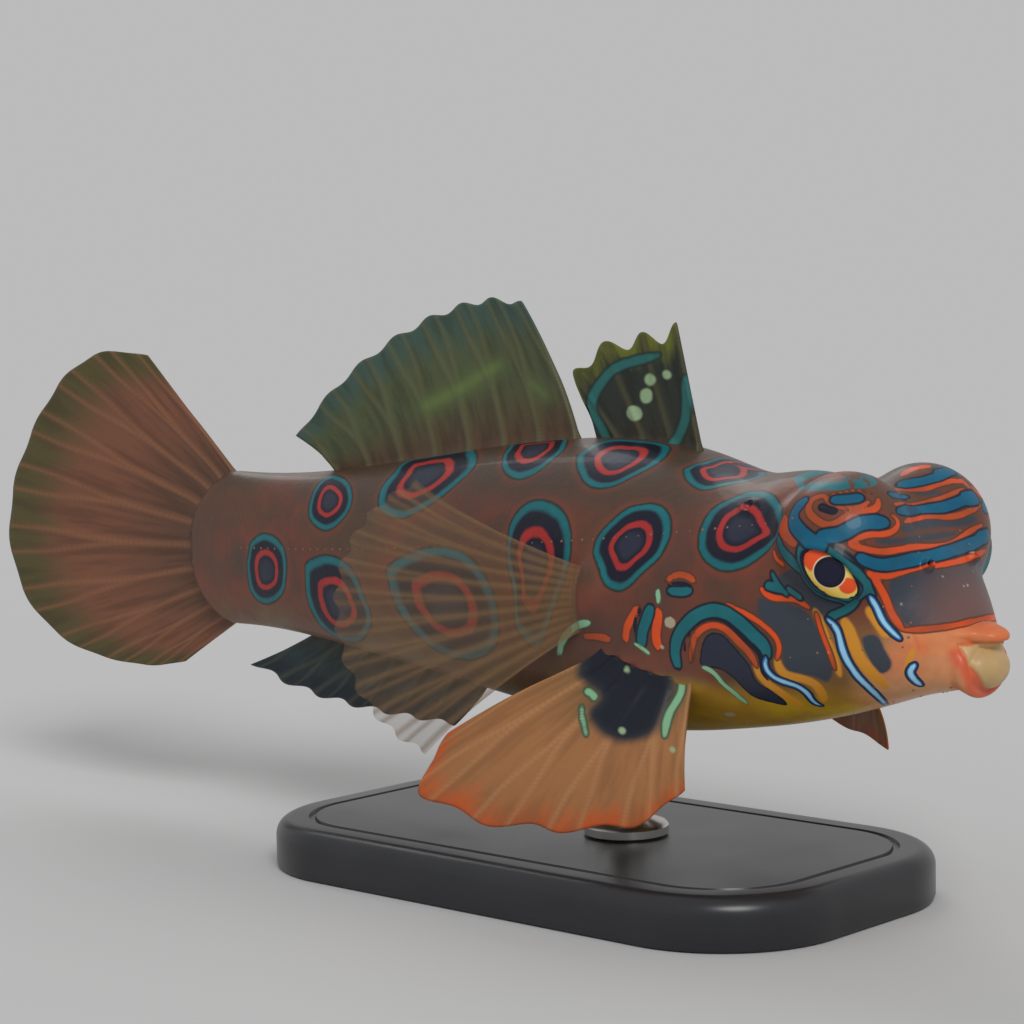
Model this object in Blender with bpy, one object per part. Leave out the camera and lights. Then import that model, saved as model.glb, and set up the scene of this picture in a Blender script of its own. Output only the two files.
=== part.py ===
"""A life-size museum model of a picturesque mandarinfish, held on a small display stand.

The fish looks along +X, with +Y on its left and +Z up. The origin is the centre of the stand's underside.
Sizes are millimetres in the fish's own measure: x runs forward from the tail root, z up from the body axis.
"""

from math import cos, pi, radians, sin

import bmesh
import bpy
import numpy as np

# Overall sizes

MM = 0.001
GAP = 0.3
SMOOTH_ANGLE = radians(40)
BASE_LENGTH, BASE_WIDTH, BASE_HEIGHT = 32.0, 18.0, 2.4
BASE_CORNER, BASE_BEVEL, BASE_CORNER_STEPS = 6.0, 0.8, 12
BASE_CENTRE_X = 27.0
BODY_AXIS_HEIGHT = 14.4

# Flesh: half width, back height, belly height and height of the widest place, at named places along x

STATIONS = {
    "tail root": (0.0, 1.05, 4.15, -4.15, 0.0),
    "tail stalk": (5.0, 2.05, 4.05, -4.0, 0.0),
    "end of anal fin": (12.0, 3.15, 4.6, -4.5, -0.1),
    "vent": (20.0, 4.3, 5.75, -5.45, -0.3),
    "middle of back": (27.0, 5.3, 6.5, -6.25, -0.8),
    "shoulder": (34.0, 5.8, 6.05, -6.45, -1.2),
    "nape": (37.5, 5.65, 5.25, -6.0, -1.2),
    "crown": (40.3, 5.4, 5.42, -5.5, -1.1),
    "eyes": (43.5, 4.8, 4.3, -4.65, -1.0),
    "brow": (46.0, 3.95, 3.35, -3.85, -1.2),
    "snout": (47.5, 2.7, 1.4, -3.5, -1.6),
    "jaw": (48.6, 1.6, -0.9, -3.3, -2.1),
}
ROUNDNESS_ABOVE, ROUNDNESS_BELOW = 2.1, 2.6
HEAD_CUT_X, TAIL_CUT_X = 38.1, 8.2
HEAD_FAN_CENTRE = (43.2, 0.0, -0.95)
MUZZLE_FRONT_X = 48.7
TAIL_CENTRE_X = 3.2
TAIL_END_X, TAIL_END_CURVE = -0.6, 2.8
MUZZLE_ROUNDING, TAIL_ROUNDING = 0.5, 0.4

# Lobes, mirrored to both sides of the body: centre, radii and how widely each blends into it

LOBES = {
    "eye dome": ((43.75, 2.8, 2.68), (2.9, 3.0, 3.07), 0.9),
    "bridge between the domes": ((43.9, 0.0, 1.9), (2.4, 2.3, 2.5), 0.6),
    "root of the pectoral fin": ((32.0, 4.9, -0.2), (1.1, 1.35, 1.9), 0.5),
    "root of the pelvic fin": ((35.0, 4.8, -3.3), (2.8, 1.1, 0.9), 0.7),
}

# The mouth: a ring of lip, the pad that it closes on, the upper jaw's shelf and the beak at its middle

MOUTH_CENTRE = (48.5, 0.0, -2.45)
MOUTH_HALF_WIDTH, MOUTH_HALF_HEIGHT, LIP_RADIUS = 1.42, 1.0, 0.3
PAD_CENTRE, PAD_RADII = (48.55, 0.0, -2.45), (1.02, 1.42, 0.98)
SHELF_CENTRE, SHELF_RADII = (47.0, 0.0, -1.0), (1.95, 2.2, 0.6)
BEAK_CENTRE, BEAK_RADII = (48.65, 0.0, -1.1), (1.1, 0.95, 0.5)
LIP_BLEND, PAD_BLEND, BEAK_BLEND, SHELF_BLEND = 0.25, 0.08, 0.35, 0.12

# Eyes, nostrils and gill openings, on the left side; the right side mirrors them

EYE_PLACE = (44.5, 4.95, 1.85)
EYE_GAZE_FORWARD, EYE_GAZE_DOWN, EYE_SLANT = radians(27), radians(7), radians(40)
EYE_HALF_LENGTH, EYE_HALF_HEIGHT, EYE_HALF_DEPTH = 1.35, 0.9, 1.1
EYE_SINK, EYE_GAP = 0.65, 0.25
LID_RADIUS, LID_MARGIN_LONG, LID_MARGIN_SHORT, LID_POINT = 0.3, 0.15, 0.12, 0.18
NOSTRIL_PLACE = (47.0, 1.75, 1.9)
NOSTRIL_RADIUS, NOSTRIL_HEIGHT = 0.28, 0.32
GILL_PLACE = (39.2, 3.9, 4.2)
GILL_RADIUS, GILL_HEIGHT, GILL_STRETCH = 0.3, 0.16, 1.6

# Fins

WEB_HALF, RAY_HALF, ROOT_HALF = 0.25, 0.42, 0.55
ROOT_ROWS, FIRST_OUTER_ROW = (0.0, 0.07, 0.16), 0.3
ROOT_FADE, RIDGE_FALL, EDGE_SHARE = 0.2, 0.6, 0.75
SPINY_DORSAL_ROOTS_X = (33.8, 32.2, 30.6, 29.1, 27.7)
SPINY_DORSAL_TIPS = ((32.4, 11.9), (30.4, 11.45), (28.1, 11.0), (26.2, 9.6), (27.15, 7.9))
SOFT_DORSAL_ROOT_X, SOFT_DORSAL_END_X = 26.5, 10.4
SOFT_DORSAL_RAYS, SOFT_DORSAL_TOP = 8, 13.3
SOFT_DORSAL_TIP_X, SOFT_DORSAL_LAST_TIP = 23.0, (7.7, 6.1)
ANAL_ROOT_X, ANAL_END_X, ANAL_RAYS = 20.6, 8.9, 7
ANAL_TIP, ANAL_LAST_TIP = (18.0, -8.0), (3.2, -6.2)
CAUDAL_RAYS, CAUDAL_PIVOT = 11, (1.0, 0.3)
CAUDAL_OUTLINE = ((-66, 7.4), (-36, 11.8), (-20, 15.3), (-3, 17.0), (20, 15.8), (45, 13.8), (61, 11.2))
CAUDAL_ROOT_CENTRE_X, CAUDAL_TOP_ROOT, CAUDAL_BOTTOM_ROOT = 5.0, radians(121), radians(241)
PECTORAL_RAYS, PECTORAL_LENGTH = 12, 12.9
PECTORAL_ROOT_X, PECTORAL_ROOT_TOP, PECTORAL_ROOT_BOTTOM = 31.8, 1.2, -1.6
PECTORAL_TOP_ANGLE, PECTORAL_BOTTOM_ANGLE, PECTORAL_SPREAD = 27.0, -38.0, 9.0
PECTORAL_ROOT_HALF = 0.35
PELVIC_ROOTS = ((37.3, -3.6), (32.5, -2.6))
PELVIC_TIPS_RIGHT = (
    (37.8, -6.5, -7.9),
    (35.8, -7.4, -9.6),
    (32.2, -8.2, -10.2),
    (28.3, -8.7, -10.3),
    (24.2, -8.9, -9.3),
    (25.7, -8.5, -6.4),
)
PELVIC_TIPS_LEFT = (
    (40.2, 5.2, -7.6),
    (36.4, 7.4, -7.3),
    (33.0, 8.8, -7.0),
    (29.8, 9.7, -6.5),
    (27.2, 10.0, -5.7),
    (26.6, 9.3, -4.3),
)

# Stand

ROD_X, ROD_RADIUS = 29.0, 0.9
ROD_SIDES = 24
FOOT_RADIUS, FOOT_HEIGHT, CUP_RADIUS, CUP_HEIGHT = 2.0, 0.7, 1.5, 0.6

# Materials: name, colour, roughness, metallic value

FINISHES = {
    "skin": ((0.30, 0.14, 0.10), 0.45, 0.0),
    "fin_web": ((0.28, 0.22, 0.12), 0.5, 0.0),
    "orange_fin": ((0.55, 0.24, 0.06), 0.5, 0.0),
    "eye_glass": ((0.03, 0.03, 0.08), 0.08, 0.0),
    "stand_plate": ((0.03, 0.03, 0.035), 0.3, 0.0),
    "stand_metal": ((0.75, 0.74, 0.72), 0.25, 1.0),
}


def spline(xs, ys, x):
    """A natural cubic curve through (xs, ys), read at x, and straight past both ends."""
    xs, ys, x = (np.asarray(v, float) for v in (xs, ys, x))
    steps, slopes = np.diff(xs), np.diff(ys) / np.diff(xs)
    system = np.eye(len(xs))
    target = np.zeros(len(xs))
    for i in range(1, len(xs) - 1):
        system[i, i - 1 : i + 2] = steps[i - 1], 2 * (steps[i - 1] + steps[i]), steps[i]
        target[i] = 6 * (slopes[i] - slopes[i - 1])
    bends = np.linalg.solve(system, target)
    inside = np.clip(x, xs[0], xs[-1])
    i = np.clip(np.searchsorted(xs, inside, side="right") - 1, 0, len(steps) - 1)
    a, b = inside - xs[i], xs[i + 1] - inside
    value = (
        (bends[i] * b**3 + bends[i + 1] * a**3) / (6 * steps[i])
        + (ys[i] / steps[i] - bends[i] * steps[i] / 6) * b
        + (ys[i + 1] / steps[i] - bends[i + 1] * steps[i] / 6) * a
    )
    before = slopes[0] - steps[0] * bends[1] / 6
    after = slopes[-1] + steps[-1] * bends[-2] / 6
    return value + np.minimum(x - xs[0], 0) * before + np.maximum(x - xs[-1], 0) * after


def softly_least(a, b, blend):
    """The smaller of two fields, rounded over where they meet."""
    mix = np.clip(0.5 + 0.5 * (b - a) / blend, 0, 1)
    return b + (a - b) * mix - blend * mix * (1 - mix)


def softly_most(a, b, blend):
    """The larger of two fields, rounded over where they meet."""
    return -softly_least(-a, -b, blend)


def ellipsoid(p, centre, radii):
    """Roughly the distance of points p from an ellipsoid's surface, negative inside."""
    q = (p - np.asarray(centre)) / np.asarray(radii)
    far = np.linalg.norm(q, axis=-1)
    steep = np.linalg.norm(q / np.asarray(radii), axis=-1)
    return far * (far - 1) / np.maximum(steep, 1e-6)


def flesh(p):
    """Roughly the distance of points p from the fish's skin, negative inside the flesh."""
    p = np.asarray(p, float)
    xs, widths, backs, bellies, middles = (np.array(c) for c in zip(*STATIONS.values(), strict=True))
    x = np.clip(p[..., 0], xs[0] - 1.5, xs[-1] + 0.3)
    width, back, belly, middle = (spline(xs, ys, x) for ys in (widths, backs, bellies, middles))
    above = p[..., 2] > middle
    tall = np.where(above, back - middle, middle - belly)
    power = np.where(above, ROUNDNESS_ABOVE, ROUNDNESS_BELOW)
    across = np.abs(p[..., 1]) / width
    upright = np.abs(p[..., 2] - middle) / tall
    level = (across**power + upright**power + 1e-9) ** (1 / power)
    field = (level - 1) * np.minimum(width, tall)
    field = softly_most(field, p[..., 0] - MUZZLE_FRONT_X, MUZZLE_ROUNDING)
    tail_end = TAIL_END_X + TAIL_END_CURVE * (p[..., 2] / STATIONS["tail root"][2]) ** 2
    field = softly_most(field, 0.8 * (tail_end - p[..., 0]), TAIL_ROUNDING)
    mirrored = np.stack([p[..., 0], np.abs(p[..., 1]), p[..., 2]], -1)
    for centre, radii, blend in LOBES.values():
        field = softly_least(field, ellipsoid(mirrored, centre, radii), blend)
    return mouth(p, field)


def mouth(p, field):
    """Adds the ring of lip, the pad inside it and the upper jaw's shelf and beak to the field."""
    side, rise = p[..., 1] - MOUTH_CENTRE[1], p[..., 2] - MOUTH_CENTRE[2]
    oval = np.sqrt((side / MOUTH_HALF_WIDTH) ** 2 + (rise / MOUTH_HALF_HEIGHT) ** 2 + 1e-9)
    from_oval = (oval - 1) * MOUTH_HALF_HEIGHT
    lips = np.hypot(from_oval, p[..., 0] - MOUTH_CENTRE[0]) - LIP_RADIUS
    field = softly_least(field, lips, LIP_BLEND)
    field = softly_least(field, ellipsoid(p, PAD_CENTRE, PAD_RADII), PAD_BLEND)
    shelf, beak = ellipsoid(p, SHELF_CENTRE, SHELF_RADII), ellipsoid(p, BEAK_CENTRE, BEAK_RADII)
    return softly_least(field, softly_least(shelf, beak, BEAK_BLEND), SHELF_BLEND)


def along(starts, directions, level=0.0, reach=14.0):
    """The points on rays from starts, inside the flesh, where the field reaches the level."""
    starts, directions = np.broadcast_arrays(np.asarray(starts, float), np.asarray(directions, float))
    directions = directions / np.linalg.norm(directions, axis=-1, keepdims=True)
    near = np.zeros(starts.shape[:-1])
    far = np.full(starts.shape[:-1], reach)
    for _ in range(40):
        middle = (near + far) / 2
        inside = flesh(starts + directions * middle[..., None]) < level
        near, far = np.where(inside, middle, near), np.where(inside, far, middle)
    return starts + directions * near[..., None]


def skin_normal(p):
    """The outward direction of the skin at p."""
    nudge = 0.02 * np.eye(3)
    slope = np.array([flesh(p + n) - flesh(p - n) for n in nudge])
    return slope / np.linalg.norm(slope)


def new_object(name, bm, finish):
    """An object made from bm, whose points are in the fish's measure, at its place over the stand."""
    shift = np.array([-BASE_CENTRE_X, 0.0, BODY_AXIS_HEIGHT])
    for vert in bm.verts:
        vert.co = (np.array(vert.co) + shift) * MM
    mesh = bpy.data.meshes.new(name)
    bm.to_mesh(mesh)
    bm.free()
    mesh.shade_smooth()
    mesh.set_sharp_from_angle(angle=SMOOTH_ANGLE)
    obj = bpy.data.objects.new(name, mesh)
    bpy.context.scene.collection.objects.link(obj)
    mesh.materials.append(material(finish))
    return obj


def material(name):
    """The named finish as a Principled BSDF."""
    found = bpy.data.materials.get(name)
    if found:
        return found
    colour, roughness, metallic = FINISHES[name]
    made = bpy.data.materials.new(name)
    made.use_nodes = True
    shader = made.node_tree.nodes["Principled BSDF"]
    shader.inputs["Base Color"].default_value = (*colour, 1.0)
    shader.inputs["Roughness"].default_value = roughness
    shader.inputs["Metallic"].default_value = metallic
    return made


def closed_rings(rings, first_pole=None, last_pole=None):
    """A closed mesh through rings of points, with a pole or a flat cap at each end."""
    bm = bmesh.new()
    loops = [[bm.verts.new(p) for p in ring] for ring in rings]
    for low, high in zip(loops, loops[1:], strict=False):
        for i in range(len(low)):
            j = (i + 1) % len(low)
            bm.faces.new((low[i], low[j], high[j], high[i]))
    for loop, pole in ((loops[0], first_pole), (loops[-1], last_pole)):
        if pole is None:
            bm.faces.new(loop)
            continue
        tip = bm.verts.new(pole)
        for i in range(len(loop)):
            bm.faces.new((loop[i], loop[(i + 1) % len(loop)], tip))
    bmesh.ops.triangulate(bm, faces=[f for f in bm.faces if len(f.verts) > 4])
    bmesh.ops.recalc_face_normals(bm, faces=bm.faces)
    return bm


def body_ring(x, columns):
    """The skin's points around the body at x."""
    turns = np.linspace(0, 2 * pi, columns, endpoint=False)
    directions = np.stack([np.zeros(columns), np.cos(turns), np.sin(turns)], -1)
    return along((x, 0.0, ring_height(x)), directions)


def ring_height(x):
    """The height that the rings are centred on, which falls towards the mouth in the head."""
    return float(spline((0.0, 34.0, 40.0, HEAD_FAN_CENTRE[0]), (0.0, 0.0, -0.35, HEAD_FAN_CENTRE[2]), x))


def cone_ring(centre, angle, columns):
    """The skin's points on a cone about the body axis: 0 looks ahead, 180 degrees back."""
    turns = np.linspace(0, 2 * pi, columns, endpoint=False)
    wide, ahead = sin(angle), cos(angle)
    directions = np.stack([np.full(columns, ahead), wide * np.cos(turns), wide * np.sin(turns)], -1)
    return along(centre, directions)


def make_body(columns=42):
    """The head, trunk and tail, parted by thin flat cuts across the body."""
    half_gap = GAP / 2
    head_x = np.linspace(HEAD_CUT_X + half_gap, HEAD_FAN_CENTRE[0], 8)
    head = [body_ring(x, columns) for x in head_x]
    head += [cone_ring(HEAD_FAN_CENTRE, a, columns) for a in np.radians(np.linspace(86, 4, 30))]
    nose = along(HEAD_FAN_CENTRE, (1.0, 0.0, 0.0))
    trunk = [body_ring(x, columns) for x in np.linspace(TAIL_CUT_X + half_gap, HEAD_CUT_X - half_gap, 24)]
    tail_centre = (TAIL_CENTRE_X, 0.0, 0.0)
    tail_tip = along(tail_centre, (-1.0, 0.0, 0.0))
    tail = [cone_ring(tail_centre, a, columns) for a in np.radians(np.linspace(174, 98, 10))]
    tail += [body_ring(x, columns) for x in np.linspace(TAIL_CENTRE_X, TAIL_CUT_X - half_gap, 5)]
    new_object("head", closed_rings(head, last_pole=nose), "skin")
    new_object("trunk", closed_rings(trunk), "skin")
    new_object("tail", closed_rings(tail, first_pole=tail_tip), "skin")


def combine(target, pieces, operation):
    """Joins the pieces to the target, or cuts them out of it, and removes them."""
    group = bpy.data.collections.new(target.name + "_pieces")
    for piece in pieces:
        bpy.context.scene.collection.objects.unlink(piece)
        group.objects.link(piece)
    bpy.context.scene.collection.children.link(group)
    boolean = target.modifiers.new(operation.title(), "BOOLEAN")
    boolean.operation = operation
    boolean.operand_type = "COLLECTION"
    boolean.collection = group
    boolean.solver = "EXACT"
    with bpy.context.temp_override(object=target, active_object=target):
        bpy.ops.object.modifier_apply(modifier=boolean.name)
    for piece in pieces:
        bpy.data.objects.remove(piece)
    bpy.data.collections.remove(group)
    keep_largest_surface(target)


def keep_largest_surface(obj):
    """Drops every closed surface of the mesh but the one with the most faces."""
    bm = bmesh.new()
    bm.from_mesh(obj.data)
    bmesh.ops.remove_doubles(bm, verts=bm.verts, dist=1e-6)
    left, groups = set(bm.faces), []
    while left:
        group, edge = set(), [left.pop()]
        while edge:
            face = edge.pop()
            group.add(face)
            near = {f for e in face.edges for f in e.link_faces} & left
            left -= near
            edge.extend(near)
        groups.append(group)
    groups.sort(key=len)
    bmesh.ops.delete(bm, geom=[f for g in groups[:-1] for f in g], context="FACES")
    bmesh.ops.triangulate(bm, faces=bm.faces)
    bm.to_mesh(obj.data)
    bm.free()


def eye_axes(side):
    """The eye's gaze, the long axis of its opening and the short one. side is 1 for the left eye."""
    gaze = np.array([
        sin(EYE_GAZE_FORWARD) * cos(EYE_GAZE_DOWN),
        side * cos(EYE_GAZE_FORWARD) * cos(EYE_GAZE_DOWN),
        -sin(EYE_GAZE_DOWN),
    ])
    level = np.cross((0.0, 0.0, 1.0), gaze) * -side
    level /= np.linalg.norm(level)
    upright = np.cross(level, gaze) * side
    upright /= np.linalg.norm(upright)
    upright *= np.sign(upright[2])
    long_axis = level * cos(EYE_SLANT) - upright * sin(EYE_SLANT)
    short_axis = level * sin(EYE_SLANT) + upright * cos(EYE_SLANT)
    return gaze, long_axis, short_axis


def eye_ball(name, side, growth, rings, finish):
    """An ellipsoid in the eye's place, larger by growth, sunk so that it stands flush in the head."""
    gaze, long_axis, short_axis = eye_axes(side)
    place = np.array([EYE_PLACE[0], side * EYE_PLACE[1], EYE_PLACE[2]])
    surface = along(place - 3.0 * gaze, gaze)
    centre = surface - gaze * EYE_SINK
    bm = bmesh.new()
    bmesh.ops.create_uvsphere(bm, u_segments=rings * 2, v_segments=rings, radius=1.0)
    frame = np.stack([
        long_axis * (EYE_HALF_LENGTH + growth),
        short_axis * (EYE_HALF_HEIGHT + growth),
        gaze * (EYE_HALF_DEPTH + growth),
    ], -1)
    for vert in bm.verts:
        vert.co = centre + frame @ np.array(vert.co)
    bm.normal_update()
    bmesh.ops.recalc_face_normals(bm, faces=bm.faces)
    return new_object(name, bm, finish)


def lid(side, steps=24, sides=7):
    """The raised, almond-shaped rim of skin around the eye."""
    gaze, long_axis, short_axis = eye_axes(side)
    place = np.array([EYE_PLACE[0], side * EYE_PLACE[1], EYE_PLACE[2]])
    long_reach, short_reach = EYE_HALF_LENGTH + LID_MARGIN_LONG, EYE_HALF_HEIGHT + LID_MARGIN_SHORT
    path = []
    for turn in np.linspace(0, 2 * pi, steps, endpoint=False):
        almond = sin(turn) * (1 - LID_POINT * cos(turn) ** 2)
        flat = place + long_axis * long_reach * cos(turn) + short_axis * short_reach * almond
        path.append(along(flat - 2.2 * gaze, gaze))
    path = np.array(path)
    rings = []
    for i, point in enumerate(path):
        ahead = path[(i + 1) % steps] - path[i - 1]
        out = skin_normal(point)
        sideways = np.cross(ahead, out)
        sideways /= np.linalg.norm(sideways)
        angles = np.linspace(0, 2 * pi, sides, endpoint=False)
        rings.append([point + LID_RADIUS * (cos(a) * sideways + sin(a) * out) for a in angles])
    bm = bmesh.new()
    loops = [[bm.verts.new(p) for p in ring] for ring in rings]
    for low, high in zip(loops, loops[1:] + loops[:1], strict=True):
        for i in range(sides):
            j = (i + 1) % sides
            bm.faces.new((low[i], low[j], high[j], high[i]))
    bmesh.ops.recalc_face_normals(bm, faces=bm.faces)
    return new_object("lid", bm, "skin")


def pore(place, side, radius, height, stretch, sides=12):
    """A short skin tube with a pit in it, which stands on the skin and is sunk into it."""
    start = np.array([place[0] - 1.0, 0.0, place[2] - 1.0])
    point = along(start, np.array([place[0], side * place[1], place[2]]) - start)
    out = skin_normal(point)
    level = np.cross(out, (0.0, 0.0, 1.0))
    level /= np.linalg.norm(level)
    upright = np.cross(out, level)
    profile = ((1.2, -0.7), (1.05, 0.0), (0.85, height), (0.62, height * 1.1), (0.42, height * 0.9))
    rings = []
    for reach, rise in (*profile, (0.3, height * 0.35)):
        turns = np.linspace(0, 2 * pi, sides, endpoint=False)
        rings.append([
            point + out * rise + radius * reach * (cos(t) * level + stretch * sin(t) * upright)
            for t in turns
        ])
    return new_object("pore", closed_rings(rings, last_pole=point + out * height * 0.3), "skin")


def make_head_features():
    """Fuses the lids, nostrils and gill openings into the head, cuts the eye sockets and sets the eyes."""
    head = bpy.data.objects["head"]
    raised, sockets = [], []
    for side in (1, -1):
        raised.append(lid(side))
        raised.append(pore(NOSTRIL_PLACE, side, NOSTRIL_RADIUS, NOSTRIL_HEIGHT, 1.0))
        raised.append(pore(GILL_PLACE, side, GILL_RADIUS, GILL_HEIGHT, GILL_STRETCH))
        sockets.append(eye_ball("socket", side, EYE_GAP, 12, "skin"))
    combine(head, raised, "UNION")
    combine(head, sockets, "DIFFERENCE")
    eye_ball("eye_left", 1, 0.0, 12, "eye_glass")
    eye_ball("eye_right", -1, 0.0, 12, "eye_glass")


def ray_places(rays, foot=0.17, between=True):
    """Where the columns of a fin lie, counted in rays: each crest, its two feet and the web between."""
    inner = (foot, 0.5, 1 - foot) if between else (foot, 1 - foot)
    places = [i + f for i in range(rays - 1) for f in (0.0, *inner)]
    return np.array([*places, rays - 1.0])


def fin_surface(roots, tips, bow, scallop, places, rows):
    """The middle surface of a fin: each column runs from its root to its tip, bowed on the way."""
    order = np.arange(len(roots))
    root = np.stack([spline(order, roots[:, k], places) for k in range(3)], -1)
    tip = np.stack([spline(order, tips[:, k], places) for k in range(3)], -1)
    dip = scallop * np.sin(pi * (places % 1.0)) ** 2
    tip = tip - (tip - root) * dip[:, None]
    share = rows[None, :, None]
    lift = 2 * share * (1 - share) * np.asarray(bow, float)
    return root[:, None] * (1 - share) + tip[:, None] * share + lift


def surface_normals(grid):
    """Unit normals of a grid of points."""
    across, outward = np.gradient(grid, axis=0), np.gradient(grid, axis=1)
    normal = np.cross(across, outward)
    return normal / np.linalg.norm(normal, axis=-1, keepdims=True)


def settle(points, directions):
    """Slides points along directions until they lie one gap off the skin."""
    directions = directions / np.linalg.norm(directions, axis=-1, keepdims=True)
    low, high = np.full(len(points), -2.5), np.full(len(points), 2.5)
    for _ in range(30):
        middle = (low + high) / 2
        near = flesh(points + directions * middle[:, None]) < GAP
        low, high = np.where(near, middle, low), np.where(near, high, middle)
    return points + directions * high[:, None]


def make_fin(name, roots, tips, finish, bow=(0, 0, 0), scallop=0.06, root_half=ROOT_HALF,
             ray_half=RAY_HALF, rows=9, spineless=0, between=True, fit=True):
    """One fin: a web with its rays as ridges on both faces, its root one gap off the skin.

    root_half is the half thickness at the root, a number or one for each ray. The last spineless
    rays are only edges of the web, with no ridge.
    """
    roots, tips = np.asarray(roots, float), np.asarray(tips, float)
    places = ray_places(len(roots), between=between)
    shares = np.concatenate([ROOT_ROWS, np.linspace(FIRST_OUTER_ROW, 1.0, rows - len(ROOT_ROWS))])
    grid = fin_surface(roots, tips, bow, scallop, places, shares)
    normal = surface_normals(grid)
    thick_root = np.broadcast_to(np.asarray(root_half, float), (len(roots),))
    thick_root = np.interp(places, np.arange(len(roots)), thick_root)
    crest = np.isclose(places % 1.0, 0.0) & (places < len(roots) - spineless - 0.5)
    fade = np.clip(shares / ROOT_FADE, 0, 1) ** 0.6
    web = thick_root[:, None] * (1 - fade) + WEB_HALF * fade
    ridge = (ray_half - WEB_HALF) * (1 - RIDGE_FALL * shares)[None, :] * crest[:, None]
    half = np.where(shares[None, :] > 0.99, EDGE_SHARE, 1.0) * (web + ridge)
    sheets = [grid + normal * half[..., None], grid - normal * half[..., None]]
    if fit:
        for sheet in sheets:
            sheet[:, 0] = settle(sheet[:, 0], sheet[:, 2] - sheet[:, 0])
    new_object(name, two_sheets(*sheets), finish)


def two_sheets(front, back):
    """A closed mesh between two grids of points, split into triangles alike on both."""
    columns, rows = front.shape[:2]
    bm = bmesh.new()
    f, b = ([[bm.verts.new(p) for p in column] for column in sheet] for sheet in (front, back))
    for i in range(columns - 1):
        for j in range(rows - 1):
            for s, turn in ((f, 1), (b, -1)):
                for corners in (((i, j), (i + 1, j), (i + 1, j + 1)), ((i, j), (i + 1, j + 1), (i, j + 1))):
                    bm.faces.new([s[c][r] for c, r in corners][::turn])
    edge = [(i, 0) for i in range(columns)] + [(columns - 1, j) for j in range(1, rows)]
    edge += [(i, rows - 1) for i in range(columns - 2, -1, -1)] + [(0, j) for j in range(rows - 2, 0, -1)]
    for (a, c), (d, e) in zip(edge, edge[1:] + edge[:1], strict=True):
        bm.faces.new((f[a][c], b[a][c], b[d][e]))
        bm.faces.new((f[a][c], b[d][e], f[d][e]))
    bmesh.ops.recalc_face_normals(bm, faces=bm.faces)
    return bm


def back_points(xs, up=1.0):
    """Points one gap off the back, or off the belly where up is -1, on the middle plane."""
    starts = np.array([(x, 0.0, 0.0) for x in xs])
    return along(starts, (0.0, 0.0, up), level=GAP)


def upright_fin_tips(pairs):
    """(x, z) pairs as points on the middle plane."""
    return np.array([(x, 0.0, z) for x, z in pairs])


def make_spiny_dorsal():
    """The first dorsal fin: four spines and the web's hind edge."""
    tips = upright_fin_tips(SPINY_DORSAL_TIPS)
    make_fin("first_dorsal_fin", back_points(SPINY_DORSAL_ROOTS_X), tips, "fin_web",
             scallop=0.13, spineless=1, rows=8)


def make_soft_dorsal():
    """The second dorsal fin, which falls towards the tail."""
    share = np.linspace(0, 1, SOFT_DORSAL_RAYS)
    roots = back_points(SOFT_DORSAL_ROOT_X + (SOFT_DORSAL_END_X - SOFT_DORSAL_ROOT_X) * share)
    tip_x = SOFT_DORSAL_TIP_X + (SOFT_DORSAL_LAST_TIP[0] - SOFT_DORSAL_TIP_X) * share
    fall = SOFT_DORSAL_TOP - SOFT_DORSAL_LAST_TIP[1]
    tip_z = SOFT_DORSAL_TOP - fall * share**2.2 - 0.4 * (1 - share) ** 8
    tips = np.stack([tip_x, 0.5 * np.sin(1.5 * pi * share), tip_z], -1)
    make_fin("second_dorsal_fin", roots, tips, "fin_web", bow=(0.8, 0, 0), scallop=0.04)


def make_anal():
    """The anal fin, whose rays lean back under the tail stalk."""
    share = np.linspace(0, 1, ANAL_RAYS)
    roots = back_points(ANAL_ROOT_X + (ANAL_END_X - ANAL_ROOT_X) * share, up=-1.0)
    tip_x = ANAL_TIP[0] + (ANAL_LAST_TIP[0] - ANAL_TIP[0]) * share
    tip_z = ANAL_TIP[1] + (ANAL_LAST_TIP[1] - ANAL_TIP[1]) * share**3.4
    tips = np.stack([tip_x, 0.35 * np.sin(pi * share), tip_z], -1)
    make_fin("anal_fin", roots, tips, "fin_web", bow=(0.5, 0, 0), scallop=0.08, rows=7)


def make_caudal():
    """The tail fin: a wide round fan that wraps the tail's end, spread further above than below."""
    share = np.linspace(0, 1, CAUDAL_RAYS)
    angles, reaches = np.array(CAUDAL_OUTLINE).T
    angle = angles[-1] + (angles[0] - angles[-1]) * share
    reach = spline(angles, reaches, angle)
    turn = np.radians(angle)
    tips = np.stack([
        CAUDAL_PIVOT[0] - reach * np.cos(turn),
        -0.9 * np.sin(pi * share),
        CAUDAL_PIVOT[1] + reach * np.sin(turn),
    ], -1)
    aim = CAUDAL_TOP_ROOT + (CAUDAL_BOTTOM_ROOT - CAUDAL_TOP_ROOT) * share
    directions = np.stack([np.cos(aim), np.zeros(CAUDAL_RAYS), np.sin(aim)], -1)
    roots = along((CAUDAL_ROOT_CENTRE_X, 0.0, 0.0), directions, level=GAP)
    make_fin("caudal_fin", roots, tips, "orange_fin", scallop=0.025, rows=10)


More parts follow.
